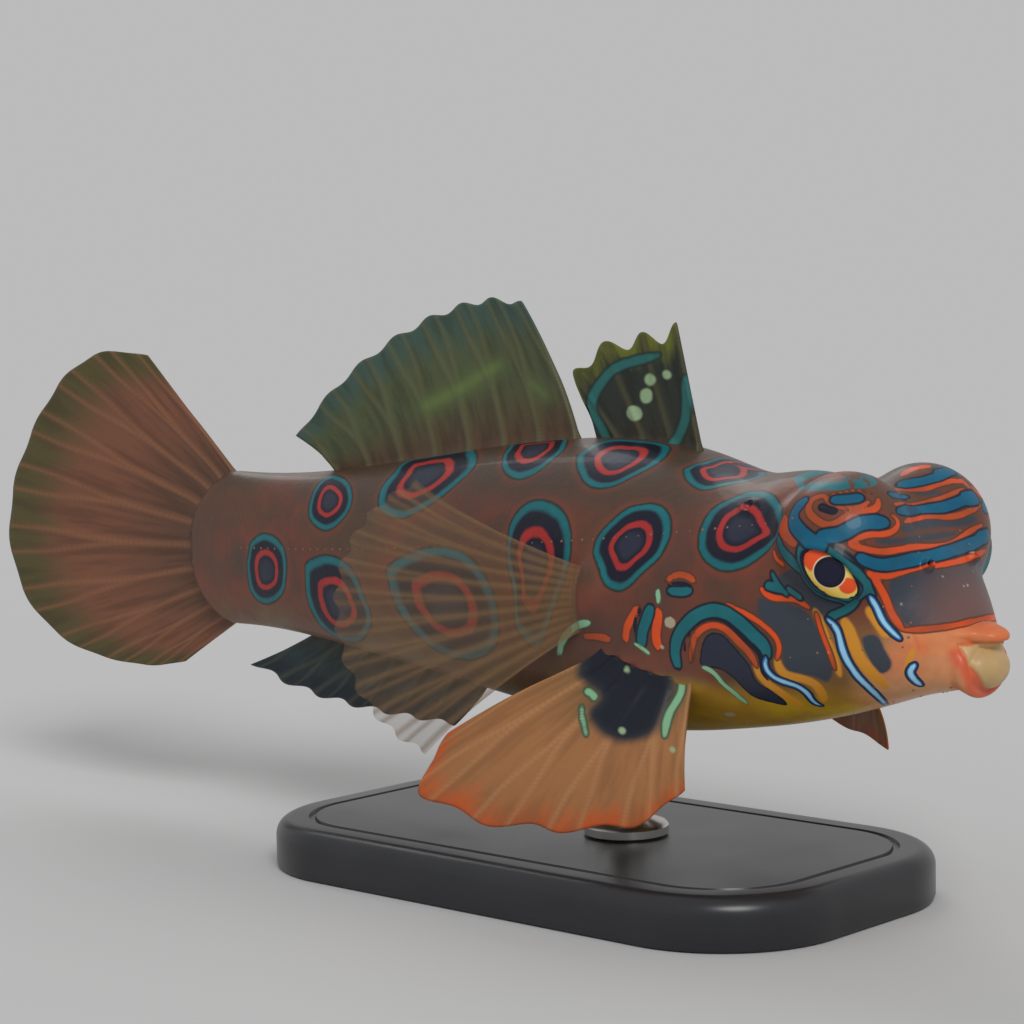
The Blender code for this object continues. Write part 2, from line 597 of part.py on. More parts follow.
def make_pectorals():
    """The two pectoral fins: clear round fans that sweep back from the flanks."""
    share = np.linspace(0, 1, PECTORAL_RAYS)
    angle = np.radians(PECTORAL_TOP_ANGLE + (PECTORAL_BOTTOM_ANGLE - PECTORAL_TOP_ANGLE) * share)
    reach = PECTORAL_LENGTH * (0.6 + 0.4 * np.sin(pi * (0.05 + 0.8 * share)))
    spread = np.radians(PECTORAL_SPREAD * (1.3 - 0.7 * share))
    height = PECTORAL_ROOT_TOP + (PECTORAL_ROOT_BOTTOM - PECTORAL_ROOT_TOP) * share
    for name, side in (("pectoral_fin_left", 1), ("pectoral_fin_right", -1)):
        starts = np.stack([np.full(PECTORAL_RAYS, PECTORAL_ROOT_X), np.zeros(PECTORAL_RAYS), height], -1)
        roots = along(starts, (-0.1, side, 0.0), level=GAP + PECTORAL_ROOT_HALF)
        sweep = np.stack([-np.cos(angle) * np.cos(spread), side * np.sin(spread),
                          np.sin(angle) * np.cos(spread)], -1)
        tips = roots + sweep * reach[:, None]
        make_fin(name, roots, tips, "fin_web", bow=(0, side * 1.3, 0), scallop=0.03,
                 root_half=PECTORAL_ROOT_HALF, ray_half=0.36, rows=8, between=False, fit=False)


def make_pelvics():
    """The two pelvic fins: the right one spread down and back, the left one held out more level."""
    for name, side, tips in (("pelvic_fin_left", 1, PELVIC_TIPS_LEFT), ("pelvic_fin_right", -1, PELVIC_TIPS_RIGHT)):
        share = np.linspace(0, 1, len(tips))[:, None]
        places = np.array(PELVIC_ROOTS[0]) * (1 - share) + np.array(PELVIC_ROOTS[1]) * share
        starts = np.stack([places[:, 0], np.zeros(len(tips)), places[:, 1] + 1.0], -1)
        ends = np.stack([places[:, 0], np.full(len(tips), 5.4 * side), places[:, 1]], -1)
        roots = along(starts, ends - starts, level=GAP)
        make_fin(name, roots, tips, "orange_fin", bow=(0.5, side * 1.1, 0.5), scallop=0.05,
                 root_half=0.42, rows=9)


def make_stand():
    """A flat base with one turned rod up to the belly."""
    floor = -BODY_AXIS_HEIGHT
    bm = bmesh.new()
    corner = BASE_CORNER
    centres = [(BASE_LENGTH / 2 - corner, BASE_WIDTH / 2 - corner, 0)]
    centres += [(-centres[0][0], centres[0][1], pi / 2), (-centres[0][0], -centres[0][1], pi)]
    centres += [(centres[0][0], -centres[0][1], 1.5 * pi)]
    outline = [
        bm.verts.new((BASE_CENTRE_X + cx + corner * cos(start + a), cy + corner * sin(start + a), floor))
        for cx, cy, start in centres
        for a in np.linspace(0, pi / 2, BASE_CORNER_STEPS)
    ]
    bottom = bm.faces.new(outline)
    top = bmesh.ops.extrude_face_region(bm, geom=[bottom])
    raised = [v for v in top["geom"] if isinstance(v, bmesh.types.BMVert)]
    bmesh.ops.translate(bm, verts=raised, vec=(0, 0, BASE_HEIGHT))
    rim = [e for e in bm.edges if all(v.co.z > floor + 0.5 * BASE_HEIGHT for v in e.verts)]
    bmesh.ops.bevel(bm, geom=rim, offset=BASE_BEVEL, segments=3, profile=0.5, affect="EDGES")
    bmesh.ops.recalc_face_normals(bm, faces=bm.faces)
    new_object("stand_base", bm, "stand_plate")

    foot = floor + BASE_HEIGHT + GAP
    head = float(along((ROD_X, 0.0, 0.0), (0.0, 0.0, -1.0), level=GAP)[2]) - 0.05
    profile = [(FOOT_RADIUS, foot), (FOOT_RADIUS, foot + 0.6 * FOOT_HEIGHT), (ROD_RADIUS + 0.3, foot + FOOT_HEIGHT)]
    profile += [(ROD_RADIUS, foot + FOOT_HEIGHT + 0.4), (ROD_RADIUS, head - CUP_HEIGHT - 0.7)]
    profile += [(CUP_RADIUS, head - CUP_HEIGHT), (CUP_RADIUS, head)]
    turns = np.linspace(0, 2 * pi, ROD_SIDES, endpoint=False)
    rings = [[(ROD_X + r * cos(t), r * sin(t), z) for t in turns] for r, z in profile]
    new_object("stand_rod", closed_rings(rings), "stand_metal")


def main():
    for obj in list(bpy.data.objects):
        bpy.data.objects.remove(obj)
    make_body()
    make_head_features()
    make_spiny_dorsal()
    make_soft_dorsal()
    make_anal()
    make_caudal()
    make_pectorals()
    make_pelvics()
    make_stand()


main()
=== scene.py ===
"""The looks of a life-size picturesque mandarinfish on its display stand.

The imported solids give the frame. One skin replaces the fish's body solids, fine rayed fins replace the fin
solids, wet eyes replace the eye solids, and a turned rod and a grooved base replace the stand's solids. The
fish's own measure is millimetres: x runs forward from the tail root, y to the fish's left and z up from the
body axis. The photograph shows its right side.
"""

import logging
from dataclasses import dataclass
from enum import Enum
from math import cos, pi, radians, sin

import bpy
import numpy as np
from mathutils import Matrix

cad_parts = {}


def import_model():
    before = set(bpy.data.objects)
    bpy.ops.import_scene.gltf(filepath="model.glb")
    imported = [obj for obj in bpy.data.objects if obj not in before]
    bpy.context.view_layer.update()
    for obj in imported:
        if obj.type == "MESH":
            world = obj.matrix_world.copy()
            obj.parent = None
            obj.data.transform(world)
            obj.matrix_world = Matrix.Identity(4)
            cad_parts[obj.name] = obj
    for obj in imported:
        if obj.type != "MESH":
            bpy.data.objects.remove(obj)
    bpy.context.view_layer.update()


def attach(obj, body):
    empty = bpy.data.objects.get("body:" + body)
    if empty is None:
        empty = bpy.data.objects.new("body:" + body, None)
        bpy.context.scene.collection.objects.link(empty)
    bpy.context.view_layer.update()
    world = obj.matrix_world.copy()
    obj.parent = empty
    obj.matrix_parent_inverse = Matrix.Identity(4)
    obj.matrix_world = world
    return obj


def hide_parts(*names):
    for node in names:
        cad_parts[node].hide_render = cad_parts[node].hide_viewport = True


LOG = logging.getLogger("mandarinfish")
MM = 0.001
BODY = "root"
ORIGIN_SHIFT = np.array([-27.0, 0.0, 14.4])
UP = np.array([0.0, 0.0, 1.0])
Points = np.ndarray


class Side(Enum):
    """The two sides of the fish, as the sign of y."""

    RIGHT = -1
    LEFT = 1


class Paint(Enum):
    """The families of markings on the skin and the fins, each kept as one attribute of their meshes."""

    RING = "ring"
    NAPE = "nape"
    BLUE = "blue"
    TEAL = "teal"
    ORANGE = "orange"
    GOLD = "gold"
    BRIGHT = "bright"
    MINT = "mint"
    NAVY = "navy"
    DUSK = "dusk"
    PALE = "pale"
    LIME = "lime"
    BLOTCH = "blotch"


FIN_PAINTS = (Paint.TEAL, Paint.LIME, Paint.MINT, Paint.BLOTCH, Paint.PALE)
SKIN_PAINTS = tuple(paint for paint in Paint if paint not in (Paint.LIME, Paint.BLOTCH))


# Curves and soft shapes


def spline(xs: Points, ys: Points, x: Points) -> Points:
    """A natural cubic curve.

    Args:
        xs: Where the curve is given, rising.
        ys: Its values there.
        x: Where it is read; straight past both ends.

    Returns:
        The values at x.
    """
    xs, ys, x = (np.asarray(v, float) for v in (xs, ys, x))
    steps, slopes = np.diff(xs), np.diff(ys) / np.diff(xs)
    system = np.eye(len(xs))
    target = np.zeros(len(xs))
    for i in range(1, len(xs) - 1):
        system[i, i - 1 : i + 2] = steps[i - 1], 2 * (steps[i - 1] + steps[i]), steps[i]
        target[i] = 6 * (slopes[i] - slopes[i - 1])
    bends = np.linalg.solve(system, target)
    inside = np.clip(x, xs[0], xs[-1])
    i = np.clip(np.searchsorted(xs, inside, side="right") - 1, 0, len(steps) - 1)
    a, b = inside - xs[i], xs[i + 1] - inside
    value = (
        (bends[i] * b**3 + bends[i + 1] * a**3) / (6 * steps[i])
        + (ys[i] / steps[i] - bends[i] * steps[i] / 6) * b
        + (ys[i + 1] / steps[i] - bends[i + 1] * steps[i] / 6) * a
    )
    before = slopes[0] - steps[0] * bends[1] / 6
    after = slopes[-1] + steps[-1] * bends[-2] / 6
    return value + np.minimum(x - xs[0], 0) * before + np.maximum(x - xs[-1], 0) * after


def smooth_line(points: Points, closed: bool, finer: int = 7) -> Points:
    """A smooth curve through a few points.

    Args:
        points: The points, one a row.
        closed: Whether the last point leads back to the first.
        finer: How many steps lie between two points.

    Returns:
        The curve's points, one a row.
    """
    points = np.asarray(points, float)
    if closed:
        wrap = 3
        points = np.concatenate([points[-wrap:], points, points[:wrap]])
    length = np.concatenate([[0.0], np.cumsum(np.linalg.norm(np.diff(points, axis=0), axis=1))])
    places = np.interp(np.arange((len(points) - 1) * finer + 1) / finer, np.arange(len(points)), length)
    if closed:
        places = places[wrap * finer : -wrap * finer]
    return np.stack([spline(length, column, places) for column in points.T], -1)


def softly_least(a: Points, b: Points, blend: float) -> Points:
    """The smaller of two fields, rounded over where they meet; the blend is how wide."""
    mix = np.clip(0.5 + 0.5 * (b - a) / blend, 0, 1)
    return b + (a - b) * mix - blend * mix * (1 - mix)


def softly_most(a: Points, b: Points, blend: float) -> Points:
    """The larger of two fields, rounded over where they meet."""
    return -softly_least(-a, -b, blend)


def ellipsoid(p: Points, centre: tuple, radii: tuple) -> Points:
    """Roughly the distance of points from an ellipsoid.

    Args:
        p: The points.
        centre: The ellipsoid's centre.
        radii: Its three half axes.

    Returns:
        The distances, negative inside.
    """
    q = (p - np.asarray(centre)) / np.asarray(radii)
    far = np.linalg.norm(q, axis=-1)
    steep = np.linalg.norm(q / np.asarray(radii), axis=-1)
    return far * (far - 1) / np.maximum(steep, 1e-6)


def unit(vectors: Points) -> Points:
    """Vectors scaled to length one, along the last axis."""
    return vectors / np.maximum(np.linalg.norm(vectors, axis=-1, keepdims=True), 1e-12)


def smoothstep(low: float, high: float, value: Points) -> Points:
    """A soft step: 0 before low, 1 after high and a smooth rise between."""
    t = np.clip((value - low) / (high - low), 0, 1)
    return t * t * (3 - 2 * t)


# The fish's body


@dataclass(frozen=True)
class FleshSizes:
    """The body's form: for each station x, half width, back, belly and height of the widest place."""

    stations: tuple = (
        (0.0, 1.05, 4.15, -4.15, 0.0),
        (5.0, 2.05, 4.05, -4.0, 0.0),
        (12.0, 3.15, 4.6, -4.5, -0.1),
        (20.0, 4.3, 5.75, -5.45, -0.3),
        (27.0, 5.3, 6.5, -6.25, -0.8),
        (34.0, 5.8, 6.05, -6.45, -1.2),
        (37.5, 5.65, 5.25, -6.0, -1.2),
        (40.3, 5.4, 5.42, -5.5, -1.1),
        (43.5, 4.8, 4.3, -4.65, -1.0),
        (46.0, 3.95, 3.35, -3.85, -1.2),
        (47.5, 2.7, 1.4, -3.5, -1.6),
        (48.6, 1.6, -0.9, -3.3, -2.1),
    )
    roundness_above: float = 2.1
    roundness_below: float = 2.6
    muzzle_front: float = 48.7
    head_fan_centre: tuple = (43.2, 0.0, -0.95)
    tail_centre_x: float = 3.2
    tail_end: float = -0.6
    tail_end_curve: float = 2.8
    lobes: tuple = (
        ((43.75, 2.8, 2.68), (2.9, 3.0, 3.07), 0.9),
        ((43.9, 0.0, 1.9), (2.4, 2.3, 2.5), 0.6),
        ((32.0, 4.9, -0.2), (1.1, 1.35, 1.9), 0.5),
        ((35.0, 4.8, -3.3), (2.8, 1.1, 0.9), 0.7),
    )
    read_before: float = 1.5
    read_past: float = 0.3
    muzzle_blend: float = 0.5
    tail_steepness: float = 0.8
    tail_blend: float = 0.4
    mouth_centre: tuple = (48.5, 0.0, -2.45)
    mouth_half_width: float = 1.42
    mouth_half_height: float = 1.0
    lip_radius: float = 0.3
    lip_blend: float = 0.25
    pad_blend: float = 0.08
    beak_blend: float = 0.35
    shelf_blend: float = 0.12
    pad: tuple = ((48.55, 0.0, -2.45), (1.02, 1.42, 0.98))
    shelf: tuple = ((47.0, 0.0, -1.0), (1.95, 2.2, 0.6))
    beak: tuple = ((48.65, 0.0, -1.1), (1.1, 0.95, 0.5))


class Flesh:
    """The body as a field: roughly the distance from the skin, negative inside."""

    HALVINGS = 26
    STRIDES = 260
    LEAST_STRIDE = 0.02
    TOUCH = 0.004

    def __init__(self, sizes: FleshSizes) -> None:
        """Keeps the sizes."""
        self.sizes = sizes

    def level(self, p: Points) -> Points:
        """The field at points.

        Args:
            p: The points, along the last axis.

        Returns:
            The field's values.
        """
        s = self.sizes
        p = np.asarray(p, float)
        xs, *curves = np.array(s.stations).T
        x = np.clip(p[..., 0], xs[0] - s.read_before, xs[-1] + s.read_past)
        width, back, belly, middle = (spline(xs, ys, x) for ys in curves)
        above = p[..., 2] > middle
        tall = np.where(above, back - middle, middle - belly)
        power = np.where(above, s.roundness_above, s.roundness_below)
        across = np.abs(p[..., 1]) / width
        upright = np.abs(p[..., 2] - middle) / tall
        shape = (across**power + upright**power + 1e-9) ** (1 / power)
        value = (shape - 1) * np.minimum(width, tall)
        value = softly_most(value, p[..., 0] - s.muzzle_front, s.muzzle_blend)
        tail_end = s.tail_end + s.tail_end_curve * (p[..., 2] / s.stations[0][2]) ** 2
        value = softly_most(value, s.tail_steepness * (tail_end - p[..., 0]), s.tail_blend)
        mirrored = np.stack([p[..., 0], np.abs(p[..., 1]), p[..., 2]], -1)
        for centre, radii, blend in s.lobes:
            value = softly_least(value, ellipsoid(mirrored, centre, radii), blend)
        return self._mouth(p, value)

    def _mouth(self, p: Points, value: Points) -> Points:
        """Adds the ring of lip, the pad inside it and the upper jaw's shelf and beak.

        Args:
            p: The points.
            value: The field there so far.

        Returns:
            The field with the mouth.
        """
        s = self.sizes
        side, rise = p[..., 1] - s.mouth_centre[1], p[..., 2] - s.mouth_centre[2]
        oval = np.sqrt((side / s.mouth_half_width) ** 2 + (rise / s.mouth_half_height) ** 2 + 1e-9)
        from_oval = (oval - 1) * s.mouth_half_height
        lips = np.hypot(from_oval, p[..., 0] - s.mouth_centre[0]) - s.lip_radius
        value = softly_least(value, lips, s.lip_blend)
        value = softly_least(value, ellipsoid(p, *s.pad), s.pad_blend)
        shelf = softly_least(ellipsoid(p, *s.shelf), ellipsoid(p, *s.beak), s.beak_blend)
        return softly_least(value, shelf, s.shelf_blend)

    def along(self, starts: Points, directions: Points, level: float = 0.0, reach: float = 14.0) -> Points:
        """Where rays from inside the flesh reach a level of the field.

        Args:
            starts: Where the rays start.
            directions: Where they go.
            level: The field's value that stops them.
            reach: How far they go at most.

        Returns:
            The points reached.
        """
        starts, directions = np.broadcast_arrays(np.asarray(starts, float), np.asarray(directions, float))
        directions = unit(directions)
        near, far = np.zeros(starts.shape[:-1]), np.full(starts.shape[:-1], reach)
        for _ in range(self.HALVINGS):
            middle = (near + far) / 2
            inside = self.level(starts + directions * middle[..., None]) < level
            near, far = np.where(inside, middle, near), np.where(inside, far, middle)
        return starts + directions * near[..., None]

    def normals(self, p: Points) -> Points:
        """The outward unit directions of the field at points."""
        nudge = 0.02 * np.eye(3)
        return unit(np.stack([self.level(p + n) - self.level(p - n) for n in nudge], -1))

    def hit(self, origin: Points, directions: Points, near: float = 75.0, far: float = 175.0) -> Points:
        """Where rays from outside first meet the skin, or the skin's nearest place to a ray that misses.

        Args:
            origin: Where the rays start.
            directions: A unit vector for each.
            near: How far off the search starts.
            far: How far off it ends.

        Returns:
            A point on the skin for each ray.
        """
        distance = np.full(len(directions), near)
        best, best_level = distance.copy(), np.full(len(directions), np.inf)
        for _ in range(self.STRIDES):
            level = self.level(origin + directions * distance[:, None])
            closer = level < best_level
            best = np.where(closer, distance, best)
            best_level = np.where(closer, level, best_level)
            walking = (level > self.TOUCH) & (distance < far)
            if not walking.any():
                break
            distance = np.where(walking, distance + np.maximum(0.5 * level, self.LEAST_STRIDE), distance)
        point = origin + directions * best[:, None]
        for _ in range(3):
            point = point - self.normals(point) * self.level(point)[:, None]
        return point


# The photograph's camera


@dataclass(frozen=True)
class PhotoCamera:
    """Where the photograph was taken from, in the fish's measure and the photograph's pixels."""

    yaw: float = radians(42.4)
    elevation: float = radians(5.2)
    roll: float = radians(-1.1)
    distance: float = 130.3
    focal: float = 2748.0
    target: tuple = (25.0, 0.0, 0.0)
    aim_right: float = -2.11
    aim_up: float = 2.96
    frame: float = 1024.0
    sensor: float = 36.0
    clip: tuple = (0.005, 20.0)

    def level_axes(self) -> tuple[Points, Points, Points]:
        """The camera's directions before its roll.

        Returns:
            Its right, its up and the direction back from what it sees.
        """
        a, e = self.yaw, self.elevation
        back = np.array([sin(a) * cos(e), -cos(a) * cos(e), sin(e)])
        level = np.array([cos(a), sin(a), 0.0])
        return level, np.cross(back, level), back

    def axes(self) -> tuple[Points, Points, Points]:
        """The camera's right, its up and the direction back from what it sees, with its roll."""
        (level, upright, back), r = self.level_axes(), self.roll
        return level * cos(r) + upright * sin(r), upright * cos(r) - level * sin(r), back

    def place(self) -> Points:
        """Where the camera stands, in the fish's measure."""
        level, upright, back = self.level_axes()
        return np.array(self.target) + level * self.aim_right + upright * self.aim_up + back * self.distance

    def rays(self, pixels: Points) -> Points:
        """The directions that the camera sees pixels in.

        Args:
            pixels: Pixels of the photograph, one a row.

        Returns:
            A unit vector for each.
        """
        right, up, back = self.axes()
        offset = (np.asarray(pixels, float) - self.frame / 2) / self.focal
        return unit(offset[:, :1] * right - offset[:, 1:] * up - back)

    def pixels(self, points: Points) -> Points:
        """Where points lie in the photograph.

        Args:
            points: The points, in the fish's measure.

        Returns:
            Their pixels.
        """
        right, up, back = self.axes()
        seen = np.asarray(points, float) - self.place()
        depth = -(seen @ back)
        return self.frame / 2 + self.focal * np.stack([seen @ right, -(seen @ up)], -1) / depth[:, None]

    def make(self) -> bpy.types.Object:
        """Makes the scene's camera.

        Returns:
            The camera object.
        """
        data = bpy.data.cameras.new("photo_camera")
        data.sensor_fit, data.sensor_width = "AUTO", self.sensor
        data.lens = self.focal / self.frame * self.sensor
        data.clip_start, data.clip_end = self.clip
        camera = bpy.data.objects.new("photo_camera", data)
        camera.matrix_world = stood(to_part(self.place()), *self.axes())
        bpy.context.scene.collection.objects.link(camera)
        bpy.context.scene.camera = camera
        return camera


def stood(place: Points, right: Points, up: Points, back: Points) -> Matrix:
    """The matrix of an object at a place, with its axes along three directions."""
    return Matrix.Translation(place) @ Matrix(np.stack([right, up, back], -1).tolist()).to_4x4()


def to_part(points: Points) -> Points:
    """Points of the fish's measure, in millimetres, as metres in the part's frame."""
    return (np.asarray(points, float) + ORIGIN_SHIFT) * MM


def new_piece(
    name: str, points: Points, faces: list, material: bpy.types.Material, attributes: dict | None = None
) -> bpy.types.Object:
    """Makes a piece of the fish that rides on its body.

    Args:
        name: The piece's name.
        points: Its points, in the fish's measure.
        faces: Its faces, as lists of point numbers.
        material: What it is finished with.
        attributes: Numbers kept for each point, by name.

    Returns:
        The new object.
    """
    mesh = bpy.data.meshes.new(name)
    mesh.from_pydata(to_part(points).tolist(), [], faces)
    for key, values in (attributes or {}).items():
        kept = mesh.attributes.new(key, "FLOAT", "POINT")
        kept.data.foreach_set("value", np.ascontiguousarray(values, np.float32))
    mesh.materials.append(material)
    mesh.validate()
    mesh.shade_smooth()
    obj = bpy.data.objects.new(name, mesh)
    bpy.context.scene.collection.objects.link(obj)
    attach(obj, BODY)
    return obj


def tube(rings: Points, poles: list) -> tuple[Points, list]:
    """A closed surface through rings of points, with a pole at each end.

    Args:
        rings: The rings, which all turn the same way.
        poles: The point before the first ring and the point after the last.

    Returns:
        Its points and its faces.
    """
    count, columns = rings.shape[:2]
    first, last = count * columns, (count - 1) * columns
    faces = []
    for i in range(columns):
        j = (i + 1) % columns
        faces += [[r + i, r + j, r + columns + j, r + columns + i] for r in range(0, last, columns)]
        faces += [[first, j, i], [first + 1, last + i, last + j]]
    return np.concatenate([rings.reshape(-1, 3), poles]), faces


# Markings read off the photograph


@dataclass(frozen=True)
class Window:
    """An enlarged part of the photograph that markings were read from."""

    left: float
    top: float
    scale: float

    def pixels(self, points: tuple) -> Points:
        """Places in the window as pixels of the photograph, one a row."""
        return np.array([self.left, self.top]) + np.asarray(points, float) / self.scale


WHOLE = Window(0.0, 0.0, 1.0)
HEAD = Window(740.0, 430.0, 5.058)
CHEEK = Window(640.0, 580.0, 7.84)
WRIST = Window(540.0, 560.0, 7.84)
SHOULDER = Window(480.0, 300.0, 4.9)
REAR = Window(230.0, 380.0, 4.612)


@dataclass(frozen=True)
class Trace:
    """One marking: a stripe along a line, or a patch or ring inside a closed one."""

    paint: Paint
    window: Window
    points: tuple
    half: float = 0.0
    closed: bool = False
    mirrored: bool = True


def stripes(paint: Paint, window: Window, *lines: tuple, mirrored: bool = True) -> list[Trace]:
    """Stripes of one paint, each from its half width in millimetres and then its points."""
    return [Trace(paint, window, line[1:], line[0], mirrored=mirrored) for line in lines]


def patches(paint: Paint, window: Window, *outlines: tuple, mirrored: bool = True) -> list[Trace]:
    """Patches or rings of one paint, each from its outline."""
    return [Trace(paint, window, outline, closed=True, mirrored=mirrored) for outline in outlines]


